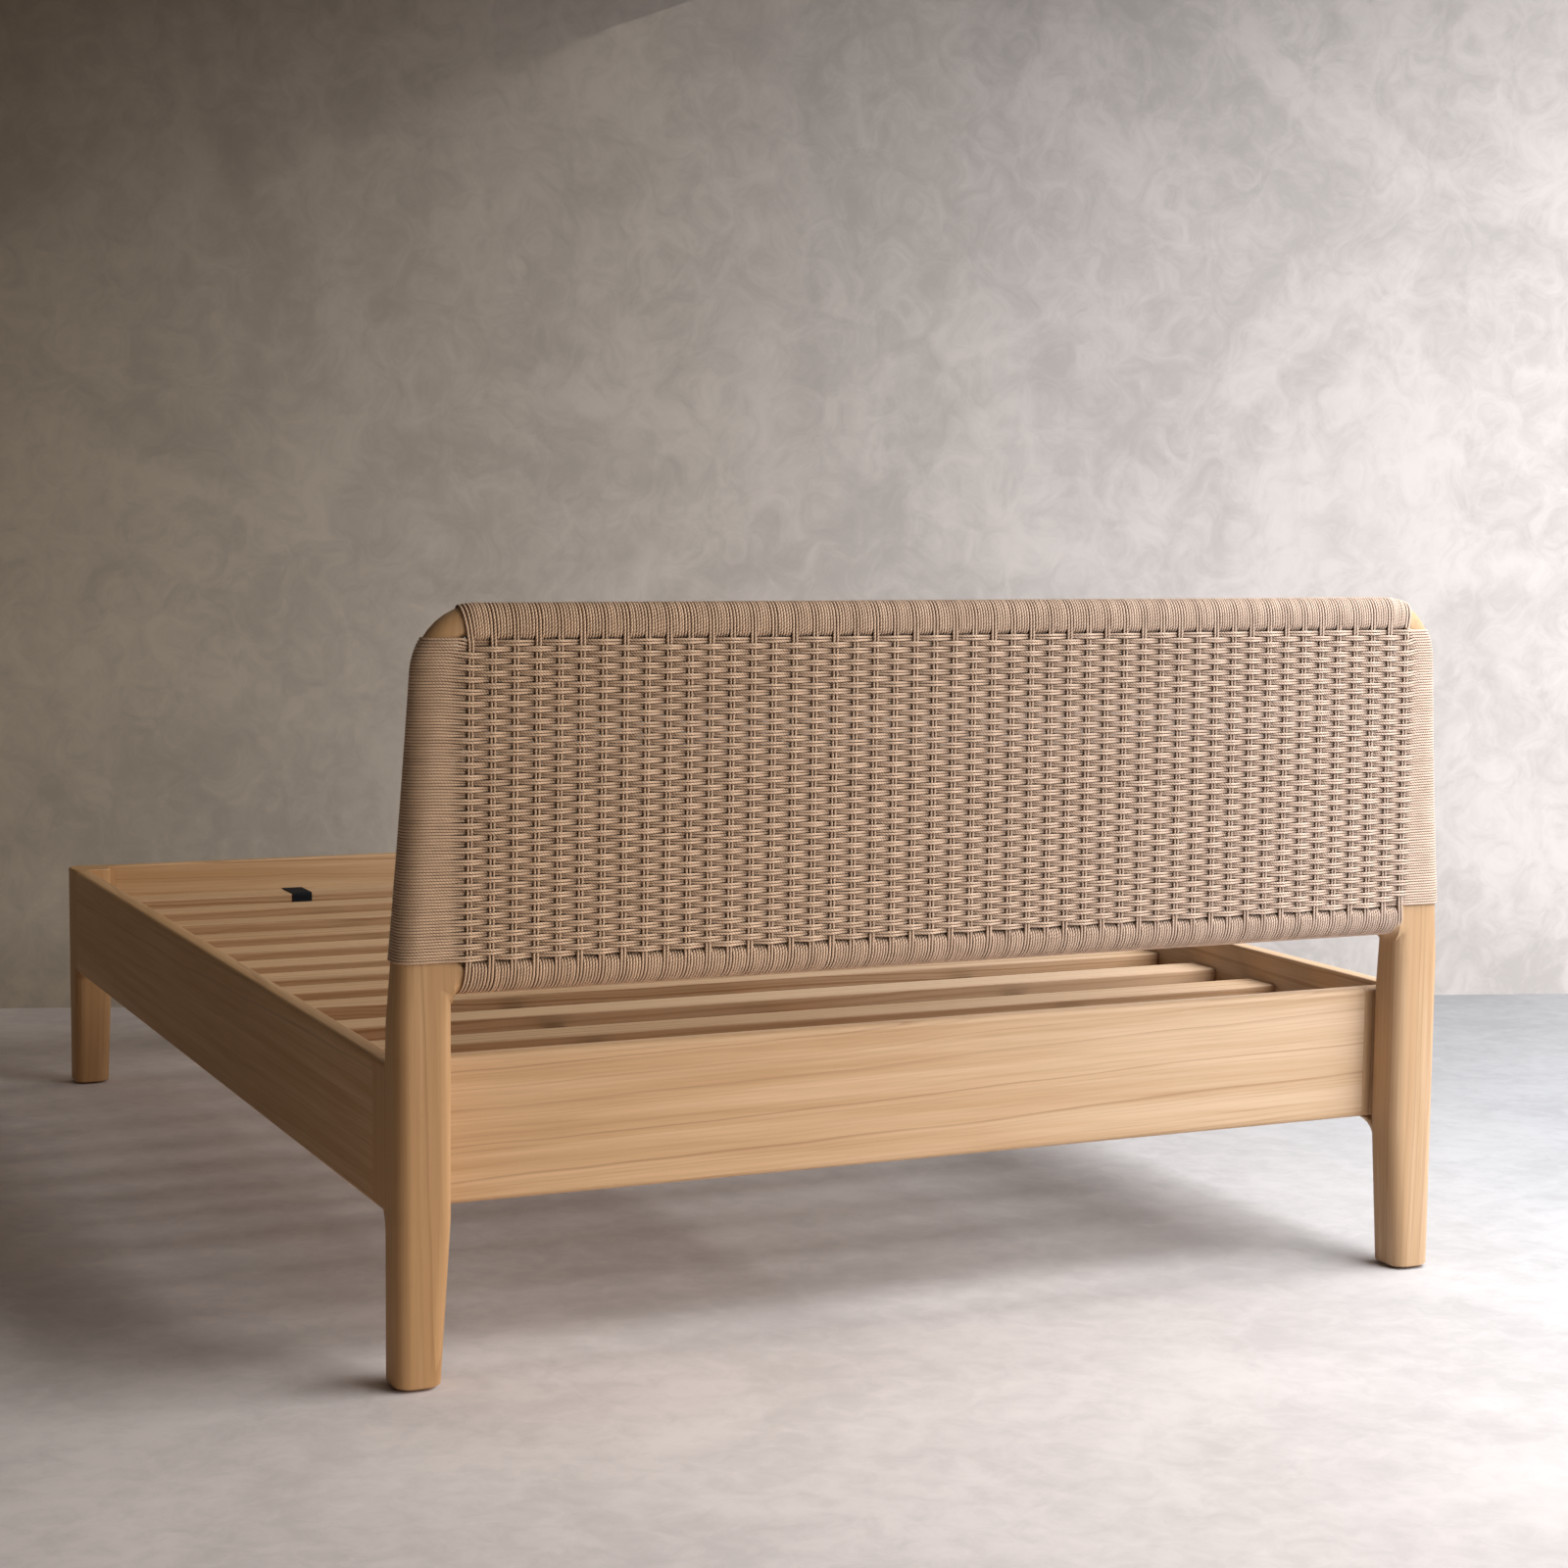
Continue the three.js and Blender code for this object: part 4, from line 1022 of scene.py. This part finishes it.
def plaster_material(name, colour, scale, swirl, mottle, left, right):
    """A pale, slightly mottled stage surface with a painted-light tint on the left and one on the
    right.

    Painted shade makes it darker under the key lamp, behind the bed's right corner.
    """
    tree, finished = new_material(name, 0.9, 0.2, 0.15, 2 * MM)
    x, y, _, place = object_place(tree)
    cloud = noise(tree, place, scale, 5, 0.55, swirl)
    fine = noise(tree, place, scale * 9, 7, 0.68, swirl / 2)
    share = times_plus(tree, fine, 0.5, times(tree, cloud, 0.5))
    mottled = mixed(tree, smooth_step(tree, share, 0.35, 0.65),
                    [value * (1 - mottle) for value in colour],
                    [value * (1 + mottle) for value in colour])
    # painted light: warmer on the left and cooler on the right, the floor also lighter on the left
    tint = mixed(tree, smooth_step(tree, x, *PAINTED_LIGHT_SPAN), left, right)
    # painted shade under the key lamp
    under = times(tree, smooth_step(tree, x, *PAINTED_SHADE_FROM_X), smooth_step(tree, y, *PAINTED_SHADE_FROM_Y))
    under = times(tree, under, minus(tree, 1.0, smooth_step(tree, x, *PAINTED_SHADE_TO_X)))
    tint = mixed(tree, under, tint, PAINTED_SHADE_TINT)
    return finished(mixed(tree, 1.0, mottled, tint, "MULTIPLY"), fine)


def soft_lamp(name, power, place, ahead, width, length, colour):
    """A soft lamp that faces the way ahead; its width runs across the bed."""
    light = bpy.data.lights.new(name, "AREA")
    light.shape = "RECTANGLE"
    light.size = width
    light.size_y = length
    light.energy = power
    light.color = colour
    lamp = bpy.data.objects.new(name, light)
    lamp.location = place
    lamp.rotation_mode = "QUATERNION"
    back = -Vector(ahead).normalized()
    along = back.cross(Vector((1.0, 0.0, 0.0))).normalized()
    turn = Matrix((along.cross(back), along, back)).transposed()
    lamp.rotation_quaternion = turn.to_quaternion()
    lamp.visible_camera = False
    bpy.context.scene.collection.objects.link(lamp)


def mix_shaders(tree, share, first, second, output):
    """Sends two shaders, mixed by a share, to the tree's output."""
    mix = add(tree, "ShaderNodeMixShader")
    for socket, source in zip(mix.inputs, (share, first, second)):
        tree.links.new(source, socket)
    tree.links.new(mix.outputs[0], tree.nodes[output].inputs["Surface"])


def open_from_behind(material):
    """Lets the backdrop's far side be looked through."""
    tree = material.node_tree
    clear = add(tree, "ShaderNodeBsdfTransparent")
    side = add(tree, "ShaderNodeNewGeometry")
    mix_shaders(tree, side.outputs["Backfacing"], tree.nodes["Principled BSDF"].outputs[0],
                clear.outputs[0], "Material Output")


def pale_world(strength):
    """A dim even light from all round that shows as a pale background."""
    world = bpy.data.worlds.new("even_light")
    world.use_nodes = True
    tree = world.node_tree
    light = feed(tree, tree.nodes["Background"], Color=FILL_COLOUR, Strength=strength)
    shown = feed(tree, add(tree, "ShaderNodeBackground"), Color=BACKGROUND_COLOUR)
    path = add(tree, "ShaderNodeLightPath").outputs
    seen = maths("MAXIMUM", tree, path["Is Camera Ray"], path["Is Glossy Ray"])
    seen = maths("MAXIMUM", tree, seen, path["Is Transmission Ray"])
    mix_shaders(tree, seen, light.outputs[0], shown.outputs[0], "World Output")
    return world


class BED_OT_stage(bpy.types.Operator):
    """Set up the floor, the backdrop, the lamps and the camera"""

    bl_idname = "bed.stage"
    bl_label = "Stage"

    def execute(self, context):
        settings = context.scene.bed_stage
        reach, tall = STAGE_REACH, WALL_HEIGHT
        floor = plaster_material("stage_floor", settings.floor, *FLOOR_LOOK)
        stage_sheet("floor", [(x * reach, y * reach, 0) for x, y in
                              ((-1, -1), (1, -1), (1, 1), (-1, 1))], floor)
        wall = plaster_material("stage_wall", settings.wall, *WALL_LOOK)
        open_from_behind(wall)
        left, right = WALL_PLACE - WALL_RUN * reach / 2, WALL_PLACE + WALL_RUN * reach
        stage_sheet("backdrop", [(left.x, left.y, 0), (right.x, right.y, 0),
                                 (right.x, right.y, tall), (left.x, left.y, tall)], wall)
        soft_lamp("key", settings.key_power, *KEY_LAMP)
        soft_lamp("foot", settings.foot_power, *FOOT_LAMP)
        scene = context.scene
        scene.world = pale_world(settings.fill_strength)
        scene.view_settings.view_transform = "Standard"
        data = bpy.data.cameras.new("camera")
        data.sensor_width = SENSOR_MM
        data.lens = CAMERA_LENS_MM
        data.clip_start, data.clip_end = CLIP_START, CLIP_END
        camera = bpy.data.objects.new("camera", data)
        camera.matrix_world = (Matrix.Translation(CAMERA_PLACE)
                               @ Matrix.Rotation(-CAMERA_YAW, 4, "Z")
                               @ Matrix.Rotation(math.pi / 2 + CAMERA_PITCH, 4, "X")
                               @ Matrix.Rotation(CAMERA_ROLL, 4, "Z"))
        scene.collection.objects.link(camera)
        scene.camera = camera
        return {"FINISHED"}


class BED_PT_dress(bpy.types.Panel):
    """Builds and settings of the bed"""

    bl_idname = "BED_PT_dress"
    bl_label = "Platform bed"
    bl_space_type = "VIEW_3D"
    bl_region_type = "UI"
    bl_category = "Bed"

    def draw(self, context):
        for operator in OPERATORS:
            self.layout.operator(operator.bl_idname)
        for group, kind in SETTINGS.items():
            box = self.layout.box()
            for name in kind.__annotations__:
                box.prop(getattr(context.scene, group), name)


OPERATORS = (BED_OT_frame_wood, BED_OT_slats, BED_OT_fittings, BED_OT_rail_windings,
             BED_OT_warps, BED_OT_wefts, BED_OT_stage)
SETTINGS = {"bed_cord": CordSettings, "bed_wood": WoodSettings, "bed_stage": StageSettings}
CLASSES = (*SETTINGS.values(), *OPERATORS, BED_PT_dress)


def register():
    for item in CLASSES:
        bpy.utils.register_class(item)
    for group, kind in SETTINGS.items():
        setattr(bpy.types.Scene, group, bpy.props.PointerProperty(type=kind))


def unregister():
    for group in SETTINGS:
        delattr(bpy.types.Scene, group)
    for item in reversed(CLASSES):
        bpy.utils.unregister_class(item)


def main():
    register()
    wood_grain_group()
    cord_twist_group()
    painted_light_tint_group()
    bpy.ops.bed.frame_wood()
    bpy.ops.bed.slats()
    bpy.ops.bed.fittings()
    bpy.ops.bed.rail_windings()
    bpy.ops.bed.warps()
    bpy.ops.bed.wefts()
    bpy.ops.bed.stage()
    bpy.context.view_layer.update()


if __name__ == "__main__":
    main()
